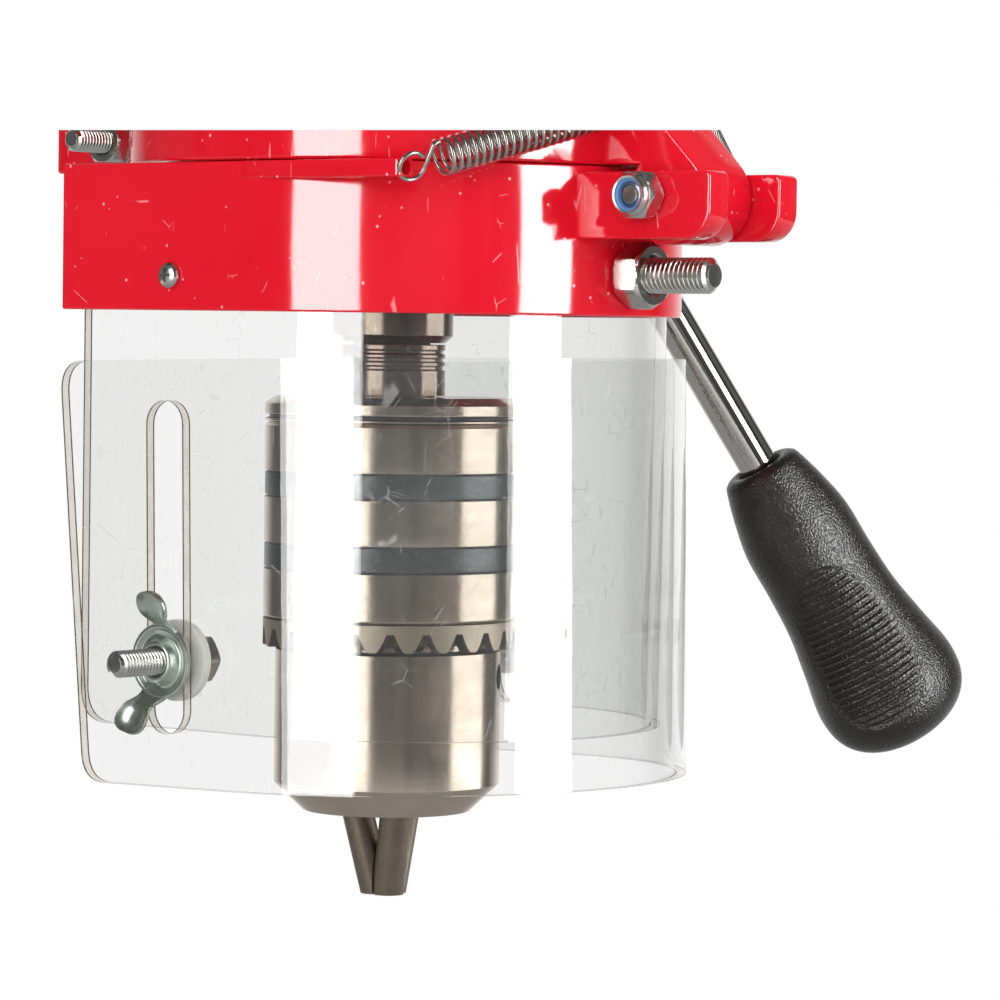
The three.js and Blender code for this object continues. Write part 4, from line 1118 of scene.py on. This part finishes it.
def makeShieldFasteners():
    b = shieldBolt
    for side, word in ((-1, "left"), (1, "right")):
        across = facing((side, 0, 0), boltLine)
        face = guardWall["innerShieldIn"] - guardWall["seat"]
        head = hexagon("shieldBolt", b["corner"], b["head"], 0)
        moved(head, lifted(face) @ Matrix.Rotation(math.pi, 4, "X"))
        begin = b["threadStart"]
        shank = drill(b["radius"] - 0.5, face - 0.5, begin + 1, look="zinc")
        thread = moved(threaded("thread", b["radius"], b["end"] - begin, 1.0), lifted(begin))
        fit(joined("shieldBolt" + word.title(), [head, shank, thread]), across, "shield_bolt_" + word)
        start = shields["inner"]["radius"] + guardWall["seat"]
        end = shields["outer"]["radius"] - shields["outer"]["wall"] - guardWall["seat"]
        ring = bar(b["spacer"], start, end, b["spacerHole"])
        spacer = turned("shieldSpacer" + word.title(), ring, "nylon", 64, 0.4)
        fit(spacer, across, "shield_spacer_" + word)


# Pressed wing nut: a dished disc round a drawn collar, with two cupped wings that rise from its edge
wingNut = {
    "radius": 8.3, "rim": 1.7, "hubRadius": 5.4, "hubHeight": 3.4, "wall": 0.9, "start": 62.9,
    "turn": math.radians(13), "steps": 14,
    "wing": ((5.6, 1.0, 3.8, 0.0), (7.2, 1.5, 3.4, 0.3), (8.2, 3.0, 2.8, 0.7), (9.0, 5.0, 2.8, 1.1),
             (10.2, 6.6, 3.7, 1.4), (12.0, 7.5, 4.4, 1.6), (13.9, 8.2, 4.2, 1.6), (15.1, 8.7, 3.1, 1.2),
             (15.6, 8.9, 1.5, 0.6)),
}


# Each row of the wing is (reach from the bolt, rise off the disc, half width, depth of the cup)
def makeWing(w):
    fine = smooth(w["wing"])
    bm = bmesh.new()
    loops = []
    for index, (reach, rise, half, cup) in enumerate(fine):
        ahead, behind = fine[min(index + 1, len(fine) - 1)], fine[max(index - 1, 0)]
        tilt = math.atan2(ahead[1] - behind[1], ahead[0] - behind[0])
        out = Vector((-math.sin(tilt), 0, math.cos(tilt)))
        here = Vector((reach, 0, rise))
        front, back = [], []
        for step in range(w["steps"] + 1):
            across = 2 * step / w["steps"] - 1
            spot = here + Vector((0, across * half, 0)) + out * cup * (abs(across) ** 2.6 - 1)
            front.append(spot)
            back.append(spot - out * w["wall"])
        loops.append([bm.verts.new(point) for point in front + back[::-1]])
    stitched(bm, loops)
    bm.faces.new(loops[0][::-1])
    bm.faces.new(loops[-1])
    return softened(fromBmesh("wing", bm, "wing", 50), 0.22, 2, 50, 50)


def makeWingNuts():
    w = wingNut
    for side, word in ((-1, "left"), (1, "right")):
        hole = shieldBolt["radius"] + 0.15
        profile = [
            (hole, 0), (w["radius"] - 0.5, 0), (w["radius"], 0.5), (w["radius"], w["rim"]),
            (w["radius"] - 0.9, w["rim"]), (w["radius"] - 1.9, 0.8), (w["hubRadius"], 0.9),
            (w["hubRadius"] - 0.9, w["hubHeight"] - 0.4), (hole + 0.7, w["hubHeight"]),
            (hole, w["hubHeight"] - 0.6)]
        disc = turned("wingNut" + word.title(), profile, "wing", 96, 0.6)
        wings = [moved(makeWing(w), Matrix.Rotation(angle, 4, "Z")) for angle in (0, math.pi)]
        nut = joined("wingNut" + word.title(), [disc, *wings])
        # The wings stand upright, with the upper one leaning to the operator's side
        upright = Matrix((
            (0, 0, side, side * w["start"]), (-math.sin(w["turn"]), math.cos(w["turn"]), 0, boltLine.y),
            (math.cos(w["turn"]), math.sin(w["turn"]), 0, boltLine.z), (0, 0, 0, 1)))
        moved(nut, upright)
        if side > 0:
            nut.data.flip_normals()
        settle(nut, "wing_nut_" + word)


# Guard springs, hooked into the ledge tabs and onto the cross pin of the arm
guardSpring = {
    "coil": 4.3, "wire": 0.5, "turns": 21, "startGap": 7.6, "endGap": 7.0, "loop": 3.1, "eye": 2.6,
    "tab": (57.7, -52.2, -97.05), "anchor": (12, *pinAt.yz),
}


def makeGuardSpring(side, word):
    g = guardSpring
    start = Vector((side * g["tab"][0], *g["tab"][1:]))
    end = Vector((side * g["anchor"][0], *g["anchor"][1:]))
    length = (end - start).length
    r = g["coil"] - g["wire"]
    name = "guardSpring" + word.title()
    body = coil(name, g["turns"], r, length - g["startGap"] - g["endGap"], g["wire"], "wire", 10, 40)
    moved(body, lifted(g["startGap"]))
    gap = g["startGap"]
    first = [(r, 0, gap), (r * 1.02, 0.1, gap - 0.7), (r * 0.92, 0.2, gap - 1.5), (r * 0.55, 0.2, gap - 2.3)]
    first += [(0.2, 0.2, gap - 3.2)]
    first += [(-g["loop"] * math.cos(a), 0.0, 0.9 + g["loop"] * math.sin(a)) for a in
              (math.radians(78 - 20 * i) for i in range(17))]
    top = length - g["endGap"]
    last = [(r, 0, top), (r * 0.9, 0, top + 1.2), (r * 0.4, 0, top + 2.6)]
    last += [(g["eye"] * math.cos(a), 0, length + g["eye"] * math.sin(a)) for a in
             (math.radians(-60 + 20 * i) for i in range(17))]
    hooks = [wireAlong("hook", points, g["wire"], "wire") for points in (smooth(first), smooth(last))]
    spring = joined(name, [body, *hooks])
    along = (end - start).normalized()
    up = Vector((0, -0.45, 1)).cross(along).cross(along).normalized() * -1
    moved(spring, Matrix.Translation(start) @ Matrix((up, along.cross(up), along)).transposed().to_4x4())
    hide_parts("guard_spring_" + word)
    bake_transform(spring)
    return spring


def smooth(points):
    points = [Vector(point) for point in points]
    for _ in range(2):
        finer = [points[0]]
        for a, b in zip(points, points[1:]):
            finer += [a * 0.75 + b * 0.25, a * 0.25 + b * 0.75]
        points = finer + [points[-1]]
    return points


makeCasting()
makeCollar()
makeClampFasteners()
print("head pieces ready")
makeHolder()
for key in shields:
    makeShield(key)
makeHingeFasteners()
makeStopFasteners()
makeHolderScrews()
makeShieldFasteners()
makeWingNuts()
for side, word in ((-1, "left"), (1, "right")):
    makeGuardSpring(side, word)
print("guard ready")


# Spindle nose and the arbor that holds the chuck
nose = {
    "radius": 14, "bottom": -134.1, "chamfer": 1.7, "socket": 8.9, "socketEnd": 7.2, "socketDepth": 66,
    "bearing": 12.5, "bearingStart": -105.9, "bearingTop": -88.6, "body": 11.5, "bodyTop": -60, "upper": 10,
    "upperTop": -16, "lockSeat": 8.5, "lockTop": 4, "spline": 7.8, "top": 30, "splines": 6,
}
arbor = {
    "flange": 12.3, "top": -134.4, "bottom": -146.1, "taperTop": 8.78, "taperEnd": 7.16, "taperZ": -71.1,
    "grooves": (-136.2, -138.0, -139.8), "grooveDepth": 0.5, "chuckTop": 10.18, "chuckEnd": 9.28,
    "chuckZ": -170.4,
}


def makeSpindle():
    n = nose
    body = turned("spindle", [
        (n["socket"], n["bottom"]), (n["radius"] - n["chamfer"], n["bottom"]),
        (n["radius"], n["bottom"] + n["chamfer"]), (n["radius"], n["bearingStart"]),
        (n["bearing"], n["bearingStart"]), (n["bearing"], n["bearingTop"]), (n["body"], n["bearingTop"]),
        (n["body"], n["bodyTop"]), (n["upper"], n["bodyTop"]), (n["upper"], n["upperTop"]),
        (n["lockSeat"], n["upperTop"]), (n["lockSeat"], n["lockTop"]), (n["spline"] - 1, n["lockTop"]),
        (n["spline"] - 1, n["top"]), (0, n["top"]), (0, n["bottom"] + n["socketDepth"]),
        (n["socketEnd"], n["bottom"] + n["socketDepth"])], "shaft", 128, 0.25)
    low, high = (n["spline"] - 2.2, -1.5, n["lockTop"] + 0.4), (n["spline"], 1.5, n["top"] - 0.8)
    key = block("spline", low, high, "shaft")
    softened(key, 0.3, 2)
    splines = ringOf("splines", key, n["splines"], "shaft")
    return settle(joined("spindleShaft", [body, splines]), "spindle")


def makeArbor():
    a = arbor
    r = a["flange"]
    deep = r - a["grooveDepth"]
    profile = [(0, a["chuckZ"]), (a["chuckEnd"], a["chuckZ"]), (a["chuckTop"], a["bottom"]), (r, a["bottom"])]
    for z in reversed(a["grooves"]):
        profile += [(r, z - 0.55), (deep, z - 0.3), (deep, z + 0.3), (r, z + 0.55)]
    profile += [(r, a["top"]), (a["taperTop"], a["top"]), (a["taperEnd"], a["taperZ"]), (0, a["taperZ"])]
    return settle(turned("chuckArbor", profile, "shaft", 128, 0.2), "chuck_arbor")


# Keyed chuck
chuck = {
    "top": -146.4, "radius": 28.7, "flangeBottom": -152, "neck": 20, "shoulder": -204, "lower": 25.8,
    "lowerBottom": -234.6, "nose": 19.2, "noseBottom": -240.9, "bore": 8.2, "boreTop": -196, "keyHole": 3,
    "topGroove": (-151.0, 0.5),
}
sleeve = {
    "top": -152.3, "bottom": -203.4, "bore": 25.4, "neckHole": 20.3, "flange": 4, "teeth": 22, "depth": 4.1,
    "bands": ((-163.5, -169.1), (-179.75, -185.5)), "step": -197.1, "bandDepth": 0.12, "lineWidth": 0.28,
    "lineDepth": 0.6, "gulletTop": 0.1, "flank": 0.31,
}
jaw = {
    "count": 3, "radius": 3.6, "tilt": math.radians(14), "length": 56, "tip": -260.3, "offset": 1.9,
    "apex": 0.3, "holeExtra": 30,
}


def makeChuckBody():
    k = chuck
    grooveZ, grooveWidth = k["topGroove"]

    # Painted shade: the top groove takes black steel, and the shoulder and neck under the teeth take the dark
    # gullet steel
    def bodyLook(x, y, z):
        reach = math.hypot(x, y)
        if abs(z - grooveZ) < grooveWidth and reach > k["neck"] + 1:
            return 1
        band = k["shoulder"] - 0.2 < z < sleeve["step"] + 1
        return 2 if band and k["bore"] + 1 < reach < k["lower"] - 0.2 else 0

    body = turned("chuckBody", [
        (0, k["boreTop"]), (k["bore"], k["boreTop"]), (k["bore"], k["noseBottom"]),
        (k["nose"], k["noseBottom"]),
        (k["lower"], k["lowerBottom"]), (k["lower"], k["shoulder"]), (k["neck"], k["shoulder"]),
        (k["neck"], k["flangeBottom"]), (k["radius"], k["flangeBottom"]),
        (k["radius"], grooveZ - grooveWidth), (k["radius"] - 1, grooveZ - grooveWidth * 0.7),
        (k["radius"] - 1, grooveZ + grooveWidth * 0.7), (k["radius"], grooveZ + grooveWidth),
        (k["radius"], k["top"] - 1.7), (k["radius"] - 2.4, k["top"]), (0, k["top"])],
        ("turned", "black", "gulletShade"), 160, 0.3, looksAt=bodyLook)
    tools = []
    for index in range(jaw["count"]):
        turn = Matrix.Rotation(index * 2 * math.pi / jaw["count"], 4, "Z")
        tools.append(drill(jaw["radius"] + 0.25, -5, jaw["length"] + jaw["holeExtra"], turn @ jawLine()))
        between = turn @ Matrix.Rotation(math.pi / jaw["count"], 4, "Z")
        place = between @ facing((1, 0, 0), (0, 0, k["shoulder"] - 6))
        tools.append(drill(k["keyHole"], 19, k["radius"] + 2, place))
    carved(body, tools)
    return settle(body, "chuck_body")


def jawLine():
    return Matrix.Translation((jaw["offset"], 0, jaw["tip"])) @ Matrix.Rotation(jaw["tilt"], 4, "Y")


def makeJaws():
    j = jaw
    reach = 14
    spread = reach * math.tan(math.pi / j["count"])
    jaws = []
    for index in range(j["count"]):
        rod = turned(f"chuckJaw{index + 1}", bar(j["radius"], -8, j["length"] + 8), "jaw", 64, 0)
        moved(rod, jawLine())
        wedge = [(j["apex"], 0), (j["apex"] + reach, -spread), (j["apex"] + reach, spread)]
        height = j["length"] * math.cos(j["tilt"])
        sector = plate("sector", [wedge], height, 0.01, "jaw", lifted(j["tip"]))
        far = block("far", (j["apex"] + 3, -20, j["tip"]), (40, 20, j["tip"] + height), "jaw")
        carved(sector, [far], "UNION")
        carved(rod, [sector], "INTERSECT")
        softened(rod, 0.25, 2, 30)
        moved(rod, Matrix.Rotation(index * 2 * math.pi / j["count"], 4, "Z"))
        jaws.append(settle(rod, f"chuck_jaw_{index + 1}"))
    return jaws


# One tooth of the ring: it starts and ends in the middle of a round gullet
def makeTooth():
    s = sleeve
    outer = chuck["radius"]
    pitch = 2 * math.pi / s["teeth"]
    steps = 40
    bm = bmesh.new()
    rows = []
    for step in range(steps + 1):
        share = step / steps
        down = min(max(min(share, 1 - share) - s["gulletTop"], 0) / s["flank"], 1)
        lift = (1 - down) ** 1.5
        turn = [(share - 0.5) * pitch]
        row = []
        for radius, weight in ((s["bore"], 0.9), (outer - 0.3, 0.97), (outer, 1.0)):
            z = s["bottom"] + s["depth"] * lift * weight + (0.25 if radius == outer else 0)
            row += ringAt(bm, radius, z, turn)
        rows.append(row + ringAt(bm, outer, s["step"], turn) + ringAt(bm, s["bore"], s["step"], turn))
    stitched(bm, rows)
    return fromBmesh("tooth", bm, "tooth")


def makeSleeve():
    s = sleeve
    r = chuck["radius"]
    profile = [(s["bore"], s["step"] + 0.3), (r - 0.4, s["step"] + 0.3), (r, s["step"] + 0.9)]
    line, cut, depth = s["lineWidth"], s["lineDepth"], s["bandDepth"]
    for top, bottom in reversed(s["bands"]):
        for z in (bottom, top):
            near, far = (0, depth) if z == bottom else (depth, 0)
            profile += [(r - near, z - line), (r - cut, z - line * 0.7)]
            profile += [(r - cut, z + line * 0.7), (r - far, z + line)]
    shelf = s["top"] - s["flange"]
    profile += [(r, s["top"] - 0.8), (r - 0.8, s["top"]), (s["neckHole"], s["top"]), (s["neckHole"], shelf)]
    profile.append((s["bore"], shelf))

    # Faces in the grooves at the band borders take black steel: painted shade in the grooves
    def bandAt(x, y, z):
        if math.hypot(x, y) < r - 1:
            return 0
        if any(abs(z - edge) < line * 0.9 for edges in s["bands"] for edge in edges):
            return 2
        return 1 if any(bottom < z < top for top, bottom in s["bands"]) else 0

    shell = turned("chuckSleeve", profile, ("turned", "bluedBand", "black"), 160, 0.05, looksAt=bandAt)
    teeth = ringOf("teeth", makeTooth(), s["teeth"], "tooth")
    # Faces of the teeth that turn downwards take the dark gullet steel: painted shade in the gullets
    teeth.data.materials.append(materials["gulletShade"])
    for face in teeth.data.polygons:
        face.material_index = 1 if face.normal.z < -0.25 else 0
    return settle(joined("chuckSleeve", [shell, teeth]), "chuck_sleeve")


# Hand feed: hub, three rods and their moulded grips
hub = {
    "radius": 22, "start": 62.6, "end": 96, "center": 80, "boss": 14, "shaftHole": 7.62, "screwHole": 3.25,
    "rodHole": 5.12, "rodStart": 12,
}
rod = {"radius": 5, "splay": math.radians(25), "forward": math.radians(21.2), "count": 3}
grip = {
    "start": 132, "length": 81, "depthInside": 60, "mouth": 5.6,
    "radii": ((0, 9.4), (0.025, 10.4), (0.12, 12.6), (0.235, 14.4), (0.38, 14.6), (0.52, 15.2), (0.655, 17),
              (0.8, 19), (1.0, 18)),
    "ribPitch": 1.75, "ribDepth": 0.8, "ribMiddle": 0.605, "ribHalf": 21.0, "ribWidth": 11.2, "ribFlare": 0.2,
    "panelStep": 0.22, "plainStep": 0.9, "segments": 120, "panelTo": (-0.91, -0.4147, 0.05),
    "endFrom": 0.8, "endRadius": 19, "endSteps": 90, "endPowers": (2.6, 0.4545),
}
hubScrew = {"corner": 7, "height": 5, "radius": 3, "length": 18}


def rodLine(index):
    along = Vector((
        math.sin(rod["splay"]), -math.cos(rod["splay"]) * math.sin(rod["forward"]),
        -math.cos(rod["splay"]) * math.cos(rod["forward"])))
    panel = Vector(grip["panelTo"])
    panel = (panel - along * panel.dot(along)).normalized()
    side = along.cross(panel)
    turn = Matrix((panel, side, along)).transposed().to_4x4()
    spin = Matrix.Rotation(index * 2 * math.pi / rod["count"], 4, "X")
    return Matrix.Translation(feedCenter + Vector((hub["center"], 0, 0))) @ spin @ turn


def gripRadius(share):
    if share > grip["endFrom"]:
        inner, outer = grip["endPowers"]
        left = (share - grip["endFrom"]) / (1 - grip["endFrom"])
        return grip["endRadius"] * max(0.0, 1 - left ** inner) ** outer
    points = grip["radii"]
    for index in range(len(points) - 1):
        if share <= points[index + 1][0]:
            break
    p0 = points[max(index - 1, 0)]
    p1, p2 = points[index], points[index + 1]
    p3 = points[min(index + 2, len(points) - 1)]
    span = p2[0] - p1[0]
    t = (share - p1[0]) / span
    m1 = (p2[1] - p0[1]) / max(p2[0] - p0[0], 1e-6) * span
    m2 = (p3[1] - p1[1]) / max(p3[0] - p1[0], 1e-6) * span
    level = (2 * t ** 3 - 3 * t ** 2 + 1) * p1[1] + (t ** 3 - 2 * t ** 2 + t) * m1
    return level + (3 * t ** 2 - 2 * t ** 3) * p2[1] + (t ** 3 - t ** 2) * m2


def makeGrip(index):
    g = grip
    start, length = g["start"], g["length"]
    mouth = g["mouth"]
    profile = [(0, start + 8), (mouth, start + 8), (mouth, start + 1.2), (mouth + 0.5, start + 0.3)]
    profile += [(g["mouth"] + 1.4, start), (8.2, start), (9.0, start + 0.3)]
    at = 1.0
    while at < g["endFrom"] * length:
        profile.append((gripRadius(at / length), start + at))
        inPanel = abs(at - g["ribMiddle"] * length) < g["ribHalf"] + 1.5
        at += g["panelStep"] if inPanel else g["plainStep"]
    steps = g["endSteps"]
    for step in range(steps + 1):
        share = g["endFrom"] + (1 - g["endFrom"]) * math.sin(step / steps * math.pi / 2)
        profile.append((gripRadius(share) if step < steps else 0, start + length * share))
    piece = turned(f"feedGrip{index + 1}", profile, "grip", g["segments"], 0, 60)
    runTree(piece, ribTree, {
        "Pitch": g["ribPitch"] * mm, "Depth": g["ribDepth"] * mm,
        "Middle": (start + g["ribMiddle"] * length) * mm,
        "Half Length": g["ribHalf"] * mm, "Half Width": g["ribWidth"] * mm, "Flare": g["ribFlare"],
        "Material": materials["grip"]})
    return fit(piece, rodLine(index), f"feed_grip_{index + 1}")


def makeFeed():
    h = hub
    across = facing((1, 0, 0), feedCenter)
    body = turned("feedHub", [
        (0, h["start"]), (h["boss"], h["start"]), (h["boss"], h["start"] + 4), (h["radius"], h["start"] + 8),
        (h["radius"], h["center"] + 5), (h["radius"] - 6, h["end"]), (0, h["end"])], "chrome", 128, 1.2)
    moved(body, across)
    tools = [
        drill(h["shaftHole"], h["start"] - 1, h["end"] - 5.7, across),
        drill(h["screwHole"], h["end"] - 7, h["end"] + 1, across),
    ]
    for index in range(rod["count"]):
        tools.append(drill(h["rodHole"], h["rodStart"] - 0.3, 40, rodLine(index)))
    carved(body, tools)
    settle(body, "feed_hub")
    for index in range(rod["count"]):
        end = grip["start"] + grip["depthInside"]
        shaft = turned("feedRod", bar(rod["radius"], h["rodStart"], end), "chrome", 96, 0.8)
        thread = moved(threaded("thread", rod["radius"] + 0.05, 10, 1.25, "chrome"), lifted(20))
        shaft = joined(f"feedRod{index + 1}", [shaft, thread])
        fit(shaft, rodLine(index), f"feed_rod_{index + 1}")
        makeGrip(index)
    screw = hexagon("hubScrew", hubScrew["corner"], hubScrew["height"], 0)
    moved(screw, lifted(h["end"] + 0.3))
    shank = drill(hubScrew["radius"], h["end"] - hubScrew["length"], h["end"] + 0.5, look="zinc")
    fit(joined("hubScrew", [screw, shank]), across, "hub_screw")


# Return spring cup on the other end of the pinion shaft, with its strip spring
springCup = {
    "radius": 26, "start": 62.6, "end": 79.6, "wall": 2, "hole": 7.65, "nutCorner": 12, "nutHeight": 6,
    "turns": 3.5, "inner": 9.2, "outer": 22.4, "strip": 0.9, "width": 11, "notches": 8, "chamfer": 2,
}


def makeSpringCup():
    s = springCup
    left = facing((-1, 0, 0), feedCenter)
    cup = turned("springCup", [
        (s["hole"], s["end"]), (s["radius"] - s["chamfer"], s["end"]),
        (s["radius"], s["end"] - s["chamfer"]), (s["radius"], s["start"]),
        (s["radius"] - s["wall"], s["start"]), (s["radius"] - s["wall"], s["end"] - s["wall"]),
        (s["hole"], s["end"] - s["wall"])], "black", 128, 0.8)
    notch = block("notch", (s["radius"] - 1.2, -1.6, s["start"] - 1), (s["radius"] + 2, 1.6, s["start"] + 4))
    carved(cup, [ringOf("notches", notch, s["notches"], "black")])
    fit(cup, left, "spring_cup")
    steps = 150
    outline = []
    for offset, order in ((s["strip"], range(steps + 1)), (0, range(steps, -1, -1))):
        for step in order:
            share = step / steps
            radius = s["inner"] + (s["outer"] - s["inner"]) * share + offset
            a = -share * s["turns"] * 2 * math.pi
            outline.append((radius * math.cos(a), radius * math.sin(a)))
    top = s["end"] - s["wall"] - 0.3
    strip = plate("returnSpring", [outline], s["width"], 0.12, "jaw", lifted(top - s["width"]))
    fit(strip, left, "return_spring")
    nut = hexagon("springCupNut", s["nutCorner"], s["nutHeight"], s["hole"])
    fit(nut, left @ lifted(s["end"] + 0.3), "spring_cup_nut")


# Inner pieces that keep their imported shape, with worn edges and their own finish
keptPieces = {
    "pinion_bush_left": ("bronze", 0.4), "pinion_bush_right": ("bronze", 0.4),
    "pinion_shaft": ("shaft", 0.15),
    "quill": ("shaft", 0.35), "lower_bearing": ("jaw", 0.3), "upper_bearing": ("jaw", 0.3),
    "bearing_retainer": ("black", 0.25), "spindle_lock_nut": ("black", 0.4),
    # The chuck ring nut takes the same dark steel that paints the shade in the gullets
    "chuck_ring_nut": ("gulletShade", 0.3),
}


def makeKept():
    for node, (look, edge) in keptPieces.items():
        bm = opened(frame["nodes"][node].data)
        bmesh.ops.remove_doubles(bm, verts=bm.verts, dist=2 * sameSpot * mm)
        bmesh.ops.dissolve_limit(bm, angle_limit=math.radians(1), verts=bm.verts, edges=bm.edges)
        mesh = written(bm, bpy.data.meshes.new(node))
        mesh.materials.append(materials[look])
        settle(softened(objectOf(node + "Worn", mesh), edge, 2, 38), node)


chuckPieces = [makeSpindle(), makeArbor(), makeChuckBody(), makeSleeve(), *makeJaws()]
print("chuck ready")
makeFeed()
makeSpringCup()
makeKept()
print("feed ready")


# Camera, light and background
view = {
    "spot": Vector((-0.7669, -0.6422, -0.132)), "heading": math.radians(51.5), "pitch": math.radians(2.16),
    "roll": math.radians(0.8), "lens": 157.5, "sensor": 36, "aim": Vector((0, 0, -0.16)),
}
# Lamps are (azimuth round the part, width, radiance); boxes show only as reflections, fills only as light
studio = {
    "distance": 2.0, "height": 2.4, "fills": ((205, 60, 1.9), (300, 60, 1.9)),
    "boxes": {
        "moulding": ((181, 30, 19.0), (276, 24, 25.0)), "sheet": ((181, 30, 11.0), (276, 24, 11.0)),
        "chuck": ((184, 34, 3.4), (311, 44, 2.8)), "metal": ((181, 30, 3.6), (276, 24, 4.2)),
    },
    "room": 0.05, "bands": 0.13, "ambient": 0.8, "floor": -0.6, "floorRadius": 1.7, "floorClear": (700, 900),
    "floorWhite": 0.82, "cloth": 0.38,
}


def makeCamera():
    forward = Vector((
        math.sin(view["heading"]) * math.cos(view["pitch"]),
        math.cos(view["heading"]) * math.cos(view["pitch"]),
        -math.sin(view["pitch"])))
    level = Vector((math.cos(view["heading"]), -math.sin(view["heading"]), 0))
    upright = level.cross(forward)
    right = level * math.cos(view["roll"]) + upright * math.sin(view["roll"])
    up = right.cross(forward)
    data = bpy.data.cameras.new("camera")
    data.lens = view["lens"]
    data.sensor_width = view["sensor"]
    data.clip_start = 0.01
    camera = objectOf("camera", data)
    turn = Matrix((right, up, -forward)).transposed().to_4x4()
    camera.matrix_world = Matrix.Translation(view["spot"]) @ turn
    bpy.context.scene.camera = camera
    return camera


# A small white card just in front of the lens trims the picture's top, where the head goes on upwards
def makeLensCard(camera):
    away = 0.05
    half = away * view["sensor"] / 2 / view["lens"]
    low, high, wide = half * 0.74, half * 1.3, half * 1.3
    bm = bmesh.new()
    corners = [(-wide, low), (wide, low), (wide, high), (-wide, high)]
    bm.faces.new([bm.verts.new((x, y, -away)) for x, y in corners])
    mesh = written(bm, bpy.data.meshes.new("lensCard"))
    mesh.materials.append(glowing("lensCard", 1.0))
    piece = objectOf("lensCard", mesh)
    piece.matrix_world = camera.matrix_world
    for name in ("diffuse", "glossy", "transmission", "shadow", "volume_scatter"):
        setattr(piece, "visible_" + name, False)
    return piece


def glowing(name, strength):
    paint = Paint(name)
    return paint.done(paint.add("ShaderNodeEmission", None, {"Color": (1, 1, 1), "Strength": strength}))


def raysOf(paint, *kinds):
    seen = [paint.add("ShaderNodeLightPath", output=f"Is {kind} Ray") for kind in kinds]
    total = seen[0]
    for other in seen[1:]:
        total = total.math("MAXIMUM", other)
    return total


# The floor takes the shadow under the part and is as white as the background farther out
def makeFloor():
    paint = Paint("floor")
    away = paint.add("ShaderNodeVectorMath", {"operation": "LENGTH"}, {0: paint.spot}, "Value")
    start, width = studio["floorClear"]
    far = away.above(start + width / 2, width)
    near = raysOf(paint, "Camera") * studio["floorWhite"]
    seen = near.math("MAXIMUM", raysOf(paint, "Camera", "Glossy", "Transmission") * far)
    cloth = paint.add("ShaderNodeBsdfDiffuse", None, {"Color": (studio["cloth"],) * 3})
    white = paint.add("ShaderNodeEmission", None, {"Color": (1, 1, 1), "Strength": 1.0})
    material = paint.done(paint.blend(seen, cloth, white))
    bm = bmesh.new()
    bmesh.ops.create_circle(bm, cap_ends=True, segments=96, radius=studio["floorRadius"])
    mesh = written(bm, bpy.data.meshes.new("floor"))
    mesh.materials.append(material)
    floor = objectOf("floor", mesh)
    floor.location = (0, 0, studio["floor"])
    return floor


def makeLamp(name, azimuth, width, radiance, diffuse):
    far = studio["distance"]
    a = math.radians(azimuth)
    data = bpy.data.lights.new(name, "AREA")
    data.shape = "RECTANGLE"
    data.size = 2 * far * math.tan(math.radians(width / 2))
    data.size_y = studio["height"]
    data.energy = radiance * math.pi * data.size * data.size_y
    lamp = objectOf(name, data)
    away = Vector((math.cos(a), math.sin(a), 0))
    lamp.matrix_world = facing(away, view["aim"] + away * far)
    lamp.visible_camera = False
    lamp.visible_diffuse = diffuse
    lamp.visible_glossy = not diffuse
    return lamp


# Bare metal is shown with weaker boxes than plastic, as if through a diffuser, and the chuck's stand wider
def linkTo(lamp, pieces, state):
    group = bpy.data.collections.new(lamp.name + "Pieces")
    for piece in pieces:
        group.objects.link(piece)
    lamp.light_linking.receiver_collection = group
    for item in group.collection_objects:
        item.light_linking.link_state = state


def piecesWith(*looks):
    wanted = {materials[look] for look in looks}
    return [piece for piece in settled if wanted & set(piece.data.materials)]


def makeWorld():
    paint = Paint("studio", "worlds")
    values = {0: paint.add("ShaderNodeTexCoord", output="Generated"),
              1: (math.sin(view["heading"]), math.cos(view["heading"]), 0)}
    behind = paint.add("ShaderNodeVectorMath", {"operation": "DOT_PRODUCT"}, values, "Value").above(0.8, 0.25)
    seen = raysOf(paint, "Camera")
    mirrored = raysOf(paint, "Glossy", "Transmission")
    squashed = {0: values[0], 1: (1, 1, 0.1)}
    flat = paint.add("ShaderNodeVectorMath", {"operation": "MULTIPLY"}, squashed, "Vector")
    room = paint.noise(4, 2, flat).above(0.5, 0.16) * studio["bands"] + studio["room"]
    level = mirrored * (behind * (1 - room) + room) + (1 - mirrored) * studio["ambient"]
    level = level * (1 - seen) + seen
    values = {"Color": (1, 1, 1), "Strength": level}
    background = paint.add("ShaderNodeBackground", None, values)
    bpy.context.scene.world = paint.done(background, "ShaderNodeOutputWorld")


camera = makeCamera()
stagePieces = [makeLensCard(camera), makeFloor()]
groups = {
    "moulding": piecesWith("redPlastic", "redPaint", "grip"), "sheet": piecesWith("sheet"),
    "chuck": chuckPieces,
}
apart = [piece for pieces in groups.values() for piece in pieces]
for name, boxes in studio["boxes"].items():
    for azimuth, width, radiance in boxes:
        lamp = makeLamp(f"{name}Box{azimuth}", azimuth, width, radiance, False)
        linkTo(lamp, groups.get(name, apart), "INCLUDE" if name in groups else "EXCLUDE")
for index, (azimuth, width, radiance) in enumerate(studio["fills"]):
    makeLamp(f"fill{index + 1}", azimuth, width, radiance, True)
makeWorld()
bpy.context.scene.view_settings.view_transform = "Standard"
bpy.context.scene.cycles.transparent_max_bounces = 24  # a look through both shields crosses many clear faces
print("studio ready")
